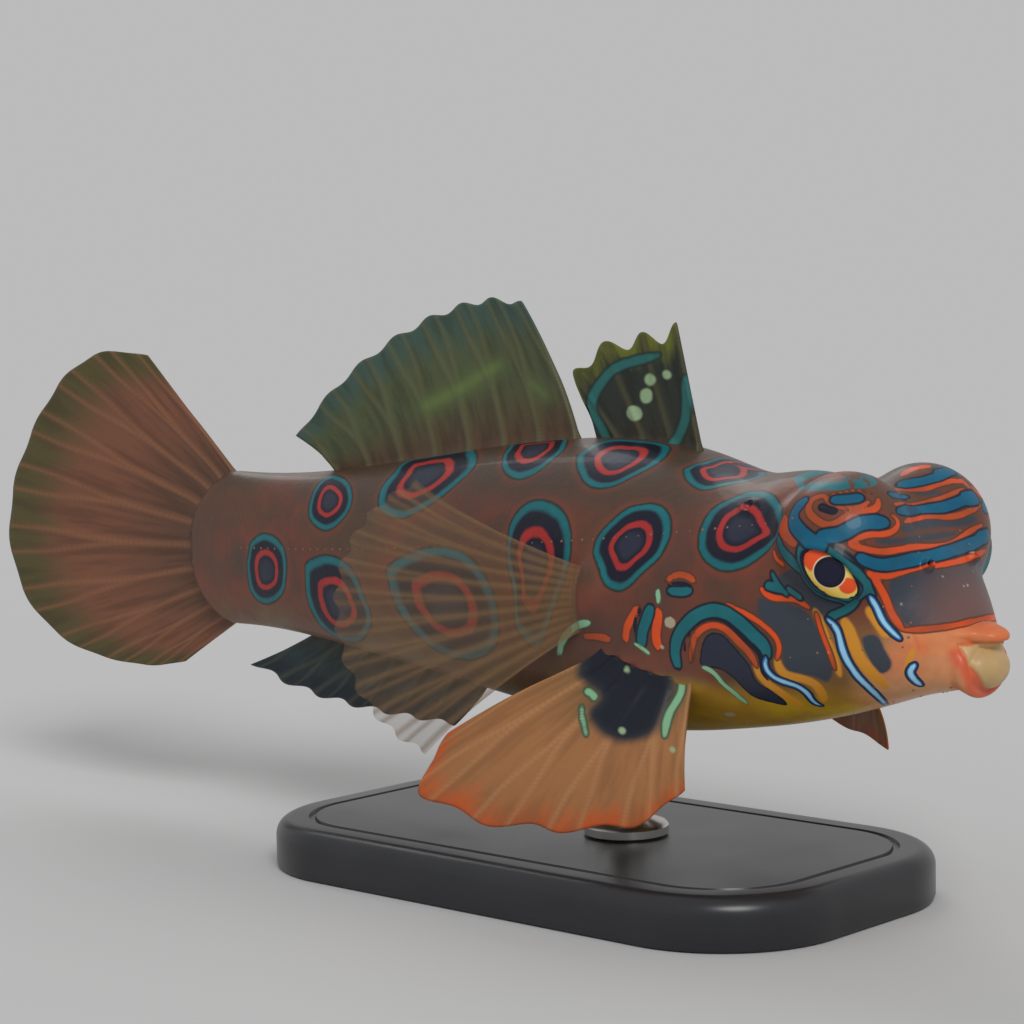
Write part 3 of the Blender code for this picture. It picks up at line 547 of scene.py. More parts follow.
SKIN_TRACES: dict[str, list[Trace]] = {
    "rings of the shoulder": patches(Paint.RING, SHOULDER,
        ((1300, 945), (1400, 940), (1470, 1010), (1475, 1100), (1430, 1200), (1340, 1280), (1200, 1325),
         (1110, 1280), (1070, 1180), (1095, 1090), (1170, 1000)),
        ((820, 1000), (900, 1020), (935, 1090), (920, 1190), (880, 1260), (780, 1350), (690, 1420),
         (620, 1400), (585, 1320), (560, 1240), (580, 1160), (650, 1080), (730, 1020)),
        ((1080, 800), (1180, 770), (1290, 790), (1400, 850), (1300, 890), (1180, 915), (1090, 930),
         (1020, 890), (1000, 830)),
        ((480, 760), (490, 850), (540, 910), (640, 915), (760, 860), (880, 790), (930, 730), (800, 690),
         (600, 690)),
        ((130, 740), (200, 655), (300, 605), (400, 635), (425, 700), (370, 770), (270, 850), (160, 870),
         (110, 810))),
    "rings of the rear flank": patches(Paint.RING, REAR,
        ((840, 320), (980, 255), (1120, 310), (1135, 380), (1080, 450), (1000, 520), (880, 600), (760, 635),
         (690, 590), (700, 500), (760, 420)),
        ((400, 490), (470, 440), (540, 470), (560, 560), (520, 640), (430, 690), (370, 640), (370, 560)),
        ((90, 760), (160, 710), (240, 760), (260, 880), (230, 1000), (160, 1030), (100, 980), (80, 870)),
        ((350, 850), (440, 810), (560, 870), (620, 1000), (650, 1130), (600, 1200), (500, 1190),
         (400, 1110), (350, 980)),
        ((720, 880), (830, 800), (980, 770), (1120, 830), (1200, 950), (1240, 1100), (1220, 1230),
         (1100, 1290), (960, 1250), (850, 1160), (760, 1040)),
        ((1290, 680), (1330, 600), (1430, 555), (1530, 600), (1570, 720), (1550, 900), (1480, 1100),
         (1410, 1230), (1340, 1180), (1310, 1000), (1280, 840))),
    "nape spot": patches(Paint.NAPE, HEAD,
        ((280, 250), (330, 218), (470, 203), (620, 218), (680, 260), (560, 292), (400, 297), (310, 283))),
    "brow bands": stripes(Paint.BLUE, HEAD,
        (0.3, (330, 355), (285, 400), (268, 450), (300, 510), (360, 558), (430, 598)),
        (0.29, (400, 530), (480, 532), (540, 512), (600, 478), (680, 464), (745, 470)),
        (0.22, (470, 352), (540, 350), (615, 340))),
    "forehead bands": stripes(Paint.BLUE, HEAD,
        (0.26, (600, 640), (700, 680), (830, 665), (1000, 630), (1110, 597), (1190, 568), (1258, 535)),
        (0.24, (800, 412), (900, 402), (1050, 385), (1130, 355), (1190, 337)),
        (0.24, (800, 275), (900, 262), (1000, 235), (1072, 205)),
        (0.14, (755, 325), (845, 340)),
        (0.34, (1140, 348), (1190, 340)),
        (0.3, (1205, 550), (1258, 532)),
        (0.3, (1005, 218), (1072, 205)),
        mirrored=False),
    "brow loops": stripes(Paint.ORANGE, HEAD,
        (0.15, (700, 350), (695, 385), (640, 410), (560, 425), (500, 465), (440, 480), (380, 450),
         (345, 400), (370, 350), (430, 333)),
        (0.09, (430, 345), (480, 385), (540, 393), (610, 385), (655, 360)),
        (0.05, (440, 332), (520, 314), (600, 306), (670, 322)),
        (0.1, (170, 610), (185, 650), (225, 685)),
        (0.12, (105, 800), (160, 845), (270, 855), (350, 900)),
        (0.14, (640, 720), (690, 770), (735, 850), (775, 940), (825, 1010)),
        (0.12, (830, 1012), (950, 1006), (1100, 985), (1200, 962), (1290, 945))),
    "hind eye corner": patches(Paint.ORANGE, HEAD,
        ((230, 430), (205, 470), (200, 520), (240, 570), (280, 590), (290, 550), (260, 500), (250, 460))),
    "forehead lines": stripes(Paint.ORANGE, HEAD,
        (0.13, (770, 430), (800, 470), (775, 510), (690, 525), (600, 545), (560, 570), (620, 600),
         (760, 612), (900, 590), (1080, 572), (1150, 522), (1225, 480)),
        (0.13, (650, 712), (720, 738), (860, 702), (1000, 682), (1150, 650), (1245, 610)),
        (0.14, (830, 465), (920, 438), (1040, 440), (1150, 415), (1215, 375)),
        (0.12, (780, 375), (860, 378), (950, 365), (1040, 338), (1130, 298)),
        (0.14, (790, 298), (870, 300), (960, 290), (1060, 258), (1135, 262)),
        (0.2, (820, 225), (880, 195), (960, 182)),
        (0.14, (1120, 250), (1160, 290)),
        mirrored=False),
    "lines of the cheek arch": stripes(Paint.ORANGE, CHEEK,
        (0.14, (400, 640), (410, 520), (450, 420), (540, 360), (640, 370), (720, 430), (800, 510),
         (880, 610), (915, 680)),
        (0.11, (680, 190), (800, 250), (920, 320), (1020, 400), (1080, 480), (1090, 560), (1072, 620)),
        (0.1, (1380, 260), (1400, 330), (1440, 450), (1490, 580), (1530, 700))),
    "lines at the fin's root": stripes(Paint.ORANGE, WRIST,
        (0.14, (990, 170), (1060, 120), (1150, 125), (1210, 170)),
        (0.2, (770, 370), (720, 450), (680, 540), (670, 640)),
        (0.24, (930, 390), (920, 500), (910, 600), (930, 690)),
        (0.16, (340, 600), (440, 600), (550, 622))),
    "gold under the arch": stripes(Paint.GOLD, CHEEK,
        (0.17, (900, 660), (980, 790), (1080, 865), (1200, 950), (1270, 985)),
        (0.18, (1075, 620), (1110, 715), (1200, 760), (1330, 795), (1410, 860), (1440, 950))),
    "gold of the jaw": stripes(Paint.GOLD, HEAD,
        (0.15, (380, 915), (410, 980), (440, 1060), (480, 1160), (505, 1240)),
        (0.22, (525, 960), (565, 1050), (605, 1150), (680, 1240), (740, 1300)),
        (0.14, (650, 905), (690, 970), (740, 1040)),
        (0.1, (880, 1110), (850, 1180), (845, 1230))),
    "bright stripes of the jaw": stripes(Paint.BRIGHT, HEAD,
        (0.13, (655, 840), (690, 895), (720, 960), (760, 1010), (812, 1058)),
        (0.16, (440, 955), (490, 1010), (510, 1080), (550, 1180), (600, 1250), (660, 1310), (740, 1390)),
        (0.15, (888, 1185), (862, 1222), (880, 1260), (918, 1292))),
    "bright end of the arch": stripes(Paint.BRIGHT, CHEEK,
        (0.14, (985, 610), (985, 680), (1040, 755), (1120, 795), (1230, 832), (1320, 900), (1370, 960),
         (1425, 985))),
    "cheek arch": stripes(Paint.TEAL, CHEEK,
        (0.27, (300, 680), (275, 560), (300, 440), (370, 340), (470, 265), (600, 240), (720, 285),
         (830, 375), (920, 460), (980, 530), (995, 600))),
    "bars at the fin's root": stripes(Paint.TEAL, WRIST,
        (0.19, (1010, 240), (1100, 248), (1180, 238)),
        (0.26, (870, 370), (830, 480), (800, 580), (795, 670))),
    "eye surround": stripes(Paint.TEAL, HEAD,
        (0.15, (640, 760), (650, 800), (668, 850)),
        (0.13, (320, 525), (400, 575), (480, 625), (555, 685), (615, 740), (638, 790), (600, 845)),
        (0.25, (190, 545), (215, 610), (265, 665), (310, 705)),
        (0.1, (310, 700), (345, 760), (400, 815), (470, 845), (540, 870)),
        (0.17, (590, 850), (560, 890), (500, 925), (450, 952)),
        (0.1, (160, 720), (200, 790), (240, 835)),
        (0.17, (135, 785), (215, 805)),
        (0.15, (240, 800), (310, 850))),
    "mint under the arch": stripes(Paint.MINT, CHEEK,
        (0.11, (490, 680), (580, 730), (640, 800), (720, 870), (790, 930), (840, 968))),
    "mint at the fin's root": stripes(Paint.MINT, WRIST,
        (0.1, (735, 650), (800, 690), (865, 745)),
        (0.12, (920, 230), (935, 340)),
        (0.19, (390, 490), (300, 510), (220, 570), (170, 650), (150, 750))),
    "edge of the arch": stripes(Paint.NAVY, CHEEK,
        (0.09, (350, 560), (370, 440), (440, 345), (560, 300), (660, 320), (760, 400), (860, 500),
         (945, 600), (955, 700), (1010, 790))),
    "edges at the fin's root": stripes(Paint.NAVY, WRIST,
        (0.08, (1000, 205), (1090, 180), (1190, 210)),
        (0.1, (790, 370), (750, 480), (730, 640))),
    "edges round the eye": stripes(Paint.NAVY, HEAD,
        (0.1, (400, 545), (480, 605), (570, 650), (625, 705)),
        (0.07, (330, 650), (345, 735), (405, 820), (480, 845)),
        (0.17, (405, 385), (440, 400), (485, 412))),
    "dark inside of the arch": patches(Paint.NAVY, CHEEK,
        ((480, 560), (510, 460), (560, 420), (640, 430), (720, 510), (800, 600), (870, 700), (900, 780),
         (1000, 850), (1100, 920), (1150, 970), (1000, 950), (870, 900), (760, 790), (660, 710), (560, 680),
         (470, 650))),
    "dusky cheek": patches(Paint.DUSK, CHEEK,
        ((930, 150), (1000, 160), (1150, 190), (1300, 250), (1370, 340), (1420, 450), (1480, 600),
         (1510, 720), (1470, 790), (1380, 760), (1200, 740), (1130, 650), (1120, 540), (1080, 440),
         (1000, 360), (930, 270))),
    "dusky snout and eye corner": patches(Paint.DUSK, HEAD,
        ((250, 710), (330, 765), (420, 845), (530, 875), (540, 905), (440, 935), (330, 885), (230, 840),
         (180, 760)),
        ((620, 1060), (680, 1040), (730, 1110), (760, 1200), (720, 1230), (660, 1170), (630, 1110)),
        ((760, 760), (860, 722), (1000, 697), (1150, 667), (1215, 645), (1300, 690), (1400, 760),
         (1400, 930), (1290, 935), (1100, 970), (950, 992), (850, 996), (800, 930), (755, 850))),
    "dusky forehead bands": stripes(Paint.DUSK, HEAD,
        (0.22, (820, 500), (900, 478), (1050, 466), (1190, 450)),
        (0.13, (690, 562), (800, 562), (900, 550), (1090, 522)),
        (0.1, (890, 320), (1020, 318)),
        mirrored=False),
    "pale spots of the shoulder": stripes(Paint.PALE, WRIST,
        (0.26, (1012, 490), (1025, 490)),
        (0.12, (955, 680), (962, 682))),
    "pale spot of the chin": stripes(Paint.PALE, CHEEK,
        (0.17, (680, 1057), (730, 1053))),
    "pale specks of the head": stripes(Paint.PALE, HEAD,
        (0.045, (950, 660), (954, 662)),
        (0.04, (1023, 740), (1028, 742)),
        (0.04, (1128, 788), (1135, 790)),
        (0.045, (813, 878), (818, 882)),
        (0.05, (445, 1123), (449, 1126))),
}
FIN_TRACES: dict[str, list[Trace]] = {
    "first_dorsal_fin": [
        *stripes(Paint.TEAL, SHOULDER,
            (0.2, (640, 720), (600, 620), (550, 510), (580, 430), (660, 340), (760, 300), (880, 270)),
            (0.2, (1010, 380), (1015, 480), (1010, 580), (970, 680), (940, 740))),
        *stripes(Paint.PALE, SHOULDER,
            (0.32, (755, 550), (765, 560)),
            (0.27, (818, 460), (818, 480)),
            (0.25, (836, 388), (840, 392)),
            (0.2, (918, 362), (922, 368))),
    ],
    "second_dorsal_fin": [
        *stripes(Paint.LIME, WHOLE,
            (0.24, (425, 407), (445, 397), (470, 383), (500, 364)),
            (0.05, (533, 383), (540, 390), (546, 396))),
    ],
    "pelvic_fin": [
        *patches(Paint.BLOTCH, WRIST,
            ((330, 680), (640, 660), (1050, 900), (1060, 1000), (980, 1200), (900, 1350), (700, 1420),
             (480, 1350), (400, 1180), (480, 1090), (300, 900))),
        *stripes(Paint.MINT, WRIST,
            (0.17, (1110, 870), (1120, 1000), (1080, 1100), (1020, 1200), (980, 1380)),
            (0.17, (370, 1030), (410, 1050), (440, 1090)),
            (0.12, (330, 1150), (345, 1270), (370, 1380))),
        *stripes(Paint.PALE, WRIST,
            (0.14, (700, 882), (710, 888)),
            (0.12, (645, 1335), (655, 1345)),
            (0.12, (1040, 1485), (1050, 1495))),
    ],
}


class TracePainter:
    """Turns traces into numbers for a piece's points: how far each lies from a family's markings."""

    FAR = 9.0
    MARGIN = 2.2
    BEHIND = 3.5
    TAPER = 0.14

    def __init__(self, camera: PhotoCamera, flesh: Flesh) -> None:
        """Keeps the camera and the body that the traces are cast with."""
        self.camera, self.flesh = camera, flesh

    def on_skin(self, points: Points, traces: list[Trace]) -> dict[str, Points]:
        """The distances of points from the markings of each family.

        Args:
            points: The skin's points.
            traces: The markings.

        Returns:
            For each family's name, a signed distance for each point, negative inside a marking.
        """
        lines = [smooth_line(t.window.pixels(t.points), t.closed) for t in traces]
        cast = self.flesh.hit(self.camera.place(), self.camera.rays(np.concatenate(lines)))
        parts = np.split(cast, np.cumsum([len(line) for line in lines])[:-1])
        mirrored = points * (1.0, -1.0, 1.0)
        twin = np.where(points[:, 1:2] > 0, mirrored, points)
        values = {paint.value: np.full(len(points), self.FAR) for paint in SKIN_PAINTS}
        for trace, line in zip(traces, parts, strict=True):
            where = twin if trace.mirrored else points
            near = ((where > line.min(0) - self.MARGIN) & (where < line.max(0) + self.MARGIN)).all(1)
            if not near.any():
                continue
            distance = (
                self._patch(where[near], line, trace.paint in (Paint.RING, Paint.NAPE))
                if trace.closed
                else self.stripe(where[near], line, trace.half)
            )
            kept = values[trace.paint.value]
            kept[near] = np.minimum(kept[near], distance)
        return values

    def _patch(self, points: Points, outline: Points, ringed: bool) -> Points:
        """Signed distances from an outline, measured in the plane that the skin has at its middle.

        Args:
            points: The points.
            outline: The outline's points.
            ringed: Whether the inside is measured as a share of the way to the middle.

        Returns:
            The distance outside, and inside the depth as a share of the patch's own.
        """
        middle = outline.mean(0)
        out = unit(self.flesh.normals(outline).mean(0))
        level = unit(np.cross(UP, out))
        axes = np.stack([level, np.cross(out, level)], -1)
        flat, ring = (points - middle) @ axes, (outline - middle) @ axes
        distance, inside = flat_distance(flat, ring)
        if ringed:
            turns, reaches = np.arctan2(ring[:, 1], ring[:, 0]), np.linalg.norm(ring, axis=1)
            reach = np.interp(np.arctan2(flat[:, 1], flat[:, 0]), turns, reaches, period=2 * pi)
            depth = 1 - np.linalg.norm(flat, axis=1) / reach
        else:
            depth = distance / max(flat_distance(np.zeros((1, 2)), ring)[0][0], 0.1)
        behind = np.abs((points - middle) @ out) > self.BEHIND
        return np.where(behind, self.FAR, np.where(inside, -depth, distance))

    @classmethod
    def stripe(cls, points: Points, line: Points, half: float) -> Points:
        """Signed distances from a stripe's edge, which narrows towards both its ends.

        Args:
            points: The points.
            line: The stripe's middle line.
            half: Its half width.

        Returns:
            The distances, negative inside.
        """
        best = np.full(len(points), np.inf)
        steps = len(line) - 1
        for i in range(steps):
            start, run = line[i], line[i + 1] - line[i]
            share = np.clip((points - start) @ run / max(run @ run, 1e-12), 0, 1)
            from_end = np.minimum(i + share, steps - i - share) / steps
            width = half * (0.4 + 0.6 * np.sqrt(np.clip(from_end / cls.TAPER, 0, 1)))
            best = np.minimum(best, np.linalg.norm(points - start - share[:, None] * run, axis=1) - width)
        return best


def flat_distance(points: Points, outline: Points) -> tuple[Points, Points]:
    """How far points lie from a closed outline in a plane.

    Args:
        points: The points.
        outline: The outline's points.

    Returns:
        The distances, and whether each point is inside.
    """
    best = np.full(len(points), np.inf)
    inside = np.zeros(len(points), bool)
    for a, b in zip(outline, np.roll(outline, -1, axis=0), strict=True):
        run = b - a
        share = np.clip((points - a) @ run / max(run @ run, 1e-12), 0, 1)
        best = np.minimum(best, np.linalg.norm(points - a - share[:, None] * run, axis=1))
        crosses = (a[1] > points[:, 1]) != (b[1] > points[:, 1])
        with np.errstate(divide="ignore", invalid="ignore"):
            x = a[0] + (points[:, 1] - a[1]) * run[0] / run[1]
        inside ^= crosses & (points[:, 0] < x)
    return best, inside


# The eyes


@dataclass(frozen=True)
class EyeSizes:
    """Where an eye sits and how large its ball and its almond opening are; the other eye mirrors it."""

    place: tuple = (44.5, 4.95, 1.85)
    forward: float = radians(27)
    down: float = radians(7)
    slant: float = radians(40)
    opening_length: float = 1.26
    opening_height: float = 0.7
    opening_pinch: float = 0.18
    opening_reach: float = 4.0
    ball_radii: tuple = (1.75, 1.22, 1.0)
    ball_rings: int = 48
    ball_columns: int = 96
    sink: float = 0.8
    lid_height: float = 0.26
    pit_depth: float = 0.6


class Eye:
    """One eye: a ball in a socket of the skin."""

    def __init__(self, sizes: EyeSizes, side: Side, flesh: Flesh) -> None:
        """Finds where the eye lies.

        Args:
            sizes: Its sizes.
            side: Which eye it is.
            flesh: The body that it sits in.
        """
        self.sizes, self.side = sizes, side
        sign, ahead, down = side.value, sizes.forward, sizes.down
        self.gaze = np.array([sin(ahead) * cos(down), sign * cos(ahead) * cos(down), -sin(down)])
        level = unit(np.cross(UP, self.gaze) * -sign)
        upright = unit(np.cross(level, self.gaze))
        upright *= np.sign(upright[2])
        self.long_axis = level * cos(sizes.slant) - upright * sin(sizes.slant)
        self.short_axis = level * sin(sizes.slant) + upright * cos(sizes.slant)
        place = np.array([sizes.place[0], sign * sizes.place[1], sizes.place[2]])
        self.surface = flesh.along(place - 3.0 * self.gaze, self.gaze)

    def from_almond(self, points: Points) -> Points:
        """How far points lie from the opening's rim, seen along the gaze.

        Args:
            points: The points.

        Returns:
            The distances, negative inside the opening.
        """
        s, offset = self.sizes, points - self.surface
        u, v = offset @ self.long_axis, offset @ self.short_axis
        turn = np.arctan2(v / s.opening_height, u / s.opening_length)
        height = s.opening_height * (1 - s.opening_pinch * np.cos(turn) ** 2)
        share = np.hypot(u / s.opening_length, v / height)
        distance = (share - 1) * np.hypot(u, v) / np.maximum(share, 1e-6)
        distance = np.where(share < 0.3, -0.6, distance)
        return np.where(np.linalg.norm(offset, axis=1) > s.opening_reach, TracePainter.FAR, distance)

    def make(self, material: bpy.types.Material) -> bpy.types.Object:
        """Makes the ball.

        Args:
            material: Its finish.

        Returns:
            The new piece, which replaces the eye's solid.
        """
        s = self.sizes
        polar = np.linspace(0, pi, s.ball_rings + 1)[1:-1, None]
        turns, radii = np.linspace(0, 2 * pi, s.ball_columns, endpoint=False), np.array(s.ball_radii)
        ball = [np.sin(polar) * np.cos(turns), np.sin(polar) * np.sin(turns), np.cos(polar) + 0 * turns]
        local, faces = tube(np.stack(ball, -1) * radii, [(0, 0, radii[2]), (0, 0, -radii[2])])
        axes = np.stack([self.long_axis, self.short_axis, self.gaze])
        if np.linalg.det(axes) > 0:
            faces = [face[::-1] for face in faces]
        points = self.surface - self.gaze * s.sink + local @ axes
        name = f"eye_{self.side.name.lower()}"
        attributes = {"eye_u": local[:, 0], "eye_v": local[:, 1]}
        piece = new_piece(f"{name}_ball", points, faces, material, attributes)
        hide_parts(name)
        return piece


# The skin


@dataclass(frozen=True)
class SkinSizes:
    """How fine the skin's mesh is, and the small forms pressed into it.

    Rows run from one x to another by a step, and cones from one angle to another by a count. A nostril and a
    gill opening have a place, a radius and a height.
    """

    columns: int = 272
    tail_cones: tuple = (176.0, 96.0, 14)
    rear_rows: tuple = (3.2, 12.0, 0.4)
    middle_rows: tuple = (12.0, 38.0, 0.24)
    neck_start: float = 38.0
    neck_rows: int = 56
    head_cones: tuple = (89.4, 1.0, 158)
    centre_line: tuple = ((0.0, 34.0, 40.0), (0.0, 0.0, -0.35))
    pad_top: float = -1.42
    pad_width: float = 1.5
    pad_depth: float = 1.95
    pad_scale: float = 1.6
    crease_depth: float = 0.09
    crease_width: float = 0.08
    jaw_fold: tuple = ((47.15, -3.0, -0.9), (47.3, -2.9, -1.5), (47.2, -2.95, -2.2))
    fold_half: float = 0.05
    fold_depth: float = 0.07
    lid_shift: float = 0.08
    lid_outside: float = 0.34
    lid_inside: float = 0.13
    pit_edge: float = -0.22
    nostril: tuple = ((47.0, 1.75, 1.9), 0.2, 0.34)
    gill: tuple = ((39.2, 3.9, 4.2), 0.3, 0.16)


@dataclass(frozen=True)
class ZoneEdges:
    """Where the ground colours change.

    Each pair is where a zone starts and where it is full, first along x and then along z. The throat's edge
    rises to the side and past its bend, and the jaw's line leans from the place it is given by.
    """

    back: tuple = ((41.0, 35.0), (2.4, 5.0))
    belly: tuple = ((40.0, 33.0), (-2.2, -4.6))
    tail_belly: tuple = ((21.0, 15.0), (-1.2, -3.4))
    tail_belly_share: float = 0.75
    cheek: tuple = ((41.6, 43.6), (0.4, -1.4))
    throat: tuple = ((29.0, 36.0), (-3.6, -4.8))
    throat_rise: float = 0.12
    throat_lift: float = 0.1
    throat_bend: float = 41.0
    jaw: tuple = ((-1.1, 0.5), (-0.66, -0.8))
    jaw_line: tuple = (46.86, -0.66)
    jaw_slope: float = 0.65
    beak: tuple = ((46.4, 47.6), (-2.0, -1.4))
    beak_top: tuple = (-0.3, -0.6)
    lips: tuple = ((0.7, 0.35), (-1.3, -1.7))
    pad: tuple = (0.06, -0.08)
    snout: tuple = (46.6, 48.2)
    mouth: tuple = (47.7, 48.1)


class Skin:
    """The fish's one skin, from the lips to the tail's end."""

    ZONES = ZoneEdges()

    def __init__(self, sizes: SkinSizes, flesh: Flesh, eyes: list[Eye], painter: TracePainter) -> None:
        """Keeps the sizes, the body under the skin, the eyes and what reads the markings."""
        self.sizes, self.flesh, self.eyes, self.painter = sizes, flesh, eyes, painter

    def _rings(self) -> tuple[Points, Points, Points]:
        """The skin's smooth points.

        Returns:
            The rings of points, the tail's pole and the mouth's pole.
        """
        s, flesh = self.sizes, self.flesh.sizes
        turns = np.linspace(0, 2 * pi, s.columns, endpoint=False)
        around = np.stack([np.zeros_like(turns), np.cos(turns), np.sin(turns)], -1)
        tail_centre, fan = np.array([flesh.tail_centre_x, 0.0, 0.0]), np.array(flesh.head_fan_centre)
        neck = np.linspace(s.neck_start, fan[0], s.neck_rows)
        body_x = np.concatenate([np.arange(*s.rear_rows), np.arange(*s.middle_rows), neck])
        line_x, line_z = s.centre_line
        heights = spline((*line_x, fan[0]), (*line_z, fan[2]), body_x)
        starts = np.concatenate([
            np.broadcast_to(tail_centre, (s.tail_cones[2], 3)),
            np.stack([body_x, np.zeros_like(body_x), heights], -1),
            np.broadcast_to(fan, (s.head_cones[2], 3)),
        ])
        tail, head = np.linspace(*s.tail_cones), np.linspace(*s.head_cones)
        angles = np.radians(np.concatenate([tail, np.full(len(body_x), 90.0), head]))
        directions = around * np.sin(angles)[:, None, None] + np.eye(3)[0] * np.cos(angles)[:, None, None]
        rings = self.flesh.along(starts[:, None], directions)
        return rings, self.flesh.along(tail_centre, (-1.0, 0.0, 0.0)), self.flesh.along(fan, (1.0, 0.0, 0.0))

    def _zones(self, points: Points) -> dict[str, Points]:
        """Where the ground colours change, and how far the eyes' openings lie.

        Args:
            points: The skin's points.

        Returns:
            A mask for each zone's name, and the distance from the openings under "lid".
        """
        e, x, side, z = self.ZONES, points[:, 0], np.abs(points[:, 1]), points[:, 2]

        def box(edges: tuple, along: Points = x, up: Points = z) -> Points:
            """A zone with one pair of edges along the fish and one upwards."""
            return smoothstep(*edges[0], along) * smoothstep(*edges[1], up)

        (jaw_x, jaw_z), pad, mouth = e.jaw_line, self.from_pad(points), smoothstep(*e.mouth, x)
        throat_z = z - e.throat_rise * side - e.throat_lift * np.maximum(x - e.throat_bend, 0)
        return {
            "back": box(e.back),
            "belly": np.maximum(box(e.belly), e.tail_belly_share * box(e.tail_belly)),
            "cheek": box(e.cheek),
            "throat": box(e.throat, up=throat_z),
            "jaw": box(e.jaw, along=x - (jaw_x + e.jaw_slope * (z - jaw_z))),
            "beak": box(e.beak) * smoothstep(*e.beak_top, z),
            "lips": box(e.lips, along=pad) * mouth,
            "pad": smoothstep(*e.pad, pad) * mouth,
            "snout": smoothstep(*e.snout, x),
            "lid": np.minimum(*(eye.from_almond(points) for eye in self.eyes)),
        }

    def from_pad(self, points: Points) -> Points:
        """How far points lie from the outline of the mouth's pad, seen from the front.

        Args:
            points: The points.

        Returns:
            The distances, negative inside.
        """
        s = self.sizes
        side, down = np.abs(points[:, 1]), s.pad_top - points[:, 2]
        below = (np.hypot(side / s.pad_width, down / s.pad_depth) - 1) * s.pad_scale
        return np.where(down > 0, below, np.maximum(side - s.pad_width, -down))

    def _relief(self, points: Points) -> Points:
        """How far the small forms lift the skin: lids, sockets, nostrils and gill openings.

        Args:
            points: The skin's smooth points.

        Returns:
            The lift of each point along the skin's normal.
        """
        s = self.sizes
        crease = np.exp(-((self.from_pad(points) - 0.05) / s.crease_width) ** 2)
        lift = -s.crease_depth * crease * smoothstep(*self.ZONES.mouth, points[:, 0])
        near_side = np.where(points[:, 1:2] > 0, points * (1, -1, 1), points)
        from_fold = TracePainter.stripe(near_side, np.array(s.jaw_fold), s.fold_half)
        lift -= s.fold_depth * smoothstep(0.1, -0.1, from_fold)
        for eye in self.eyes:
            far, size = eye.from_almond(points), eye.sizes
            past = far - s.lid_shift
            rim = np.exp(-np.where(past > 0, past / s.lid_outside, past / s.lid_inside) ** 2)
            lift += size.lid_height * rim - size.pit_depth * (1 - smoothstep(s.pit_edge, 0.0, far))
        for place, radius, height in (s.nostril, s.gill):
            for side in Side:
                start = np.array([place[0] - 1.0, 0.0, place[2] - 1.0])
                end = np.array([place[0], side.value * place[1], place[2]])
                centre = self.flesh.along(start, end - start)
                far = np.linalg.norm(points - centre, axis=1)
                lift += height * np.exp(-((far - radius) / (0.5 * radius)) ** 2)
                lift -= 0.8 * height * np.exp(-((far / (0.6 * radius)) ** 2))
        return lift

    def make(self, material: bpy.types.Material) -> bpy.types.Object:
        """Makes the skin.

        Args:
            material: Its finish.

        Returns:
            The new piece, which replaces the body's solids.
        """
        rings, *poles = self._rings()
        smooth, faces = tube(rings, poles)
        traces = [trace for group in SKIN_TRACES.values() for trace in group]
        values = self.painter.on_skin(smooth, traces) | self._zones(smooth)
        points = smooth + self.flesh.normals(smooth) * self._relief(smooth)[:, None]
        piece = new_piece("fish_skin", points, faces, material, values)
        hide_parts("head", "trunk", "tail")
        return piece


# The fins


@dataclass(frozen=True)
class FinSizes:
    """The fins' forms; a pair of values is for a fin's first ray and its last."""

    root_level: float = -0.22
    first_dorsal_roots: tuple = (33.8, 32.2, 30.6, 29.1, 27.7)
    first_dorsal_tips: tuple = ((32.4, 11.9), (30.4, 11.45), (28.1, 11.0), (26.2, 9.6), (27.15, 7.9))
    second_dorsal_rays: int = 8
    second_dorsal_roots: tuple = (26.5, 10.4)
    second_dorsal_tips: tuple = (23.0, 7.7)
    second_dorsal_heights: tuple = (13.3, 6.1)
    second_dorsal_wave: float = 0.5
    second_dorsal_fall: float = 2.2
    anal_rays: int = 7
    anal_roots: tuple = (20.6, 8.9)
    anal_tips: tuple = (18.0, 3.2)
    anal_heights: tuple = (-8.0, -6.2)
    anal_wave: float = 0.35
    anal_fall: float = 3.4
    caudal_rays: int = 11
    caudal_outline: tuple = (
        (-66, 7.4), (-36, 11.8), (-20, 15.3), (-3, 17.0), (20, 15.8), (45, 13.8), (61, 11.2),
    )
    caudal_centre: tuple = (1.0, 0.3)
    caudal_bend: float = 0.9
    caudal_root_centre: tuple = (5.0, 0.0, 0.0)
    caudal_root_angles: tuple = (radians(121), radians(241))
    pectoral_rays: int = 12
    pectoral_angles: tuple = (27.0, -38.0)
    pectoral_reach: float = 12.9
    pectoral_spread: float = 9.0
    pectoral_root_x: float = 31.8
    pectoral_root_heights: tuple = (1.2, -1.6)
    pectoral_levels: tuple = (0.65, -0.15)
    pelvic_roots: tuple = ((37.3, -3.6), (32.5, -2.6))
    pelvic_root_reach: float = 5.4
    near_pelvic_tips: tuple = (
        (37.8, -6.5, -7.9), (35.8, -7.4, -9.6), (32.2, -8.2, -10.2), (28.3, -8.7, -10.3), (24.2, -8.9, -9.3),
        (25.7, -8.5, -6.4),
    )
    far_pelvic_tips: tuple = (
        (40.2, 5.2, -7.6), (36.4, 7.4, -7.3), (33.0, 8.8, -7.0), (29.8, 9.7, -6.5), (27.2, 10.0, -5.7),
        (26.6, 9.3, -4.3),
    )
    fork_start: float = 0.3
    fork_end: float = 0.85
    ray_width: float = 0.22
    ray_narrowing: float = 0.08
    flare_share: float = 0.12


def across(span: tuple, share: Points) -> Points:
    """The value at a share of the way from a span's first value to its last."""
    return span[0] + (span[1] - span[0]) * share


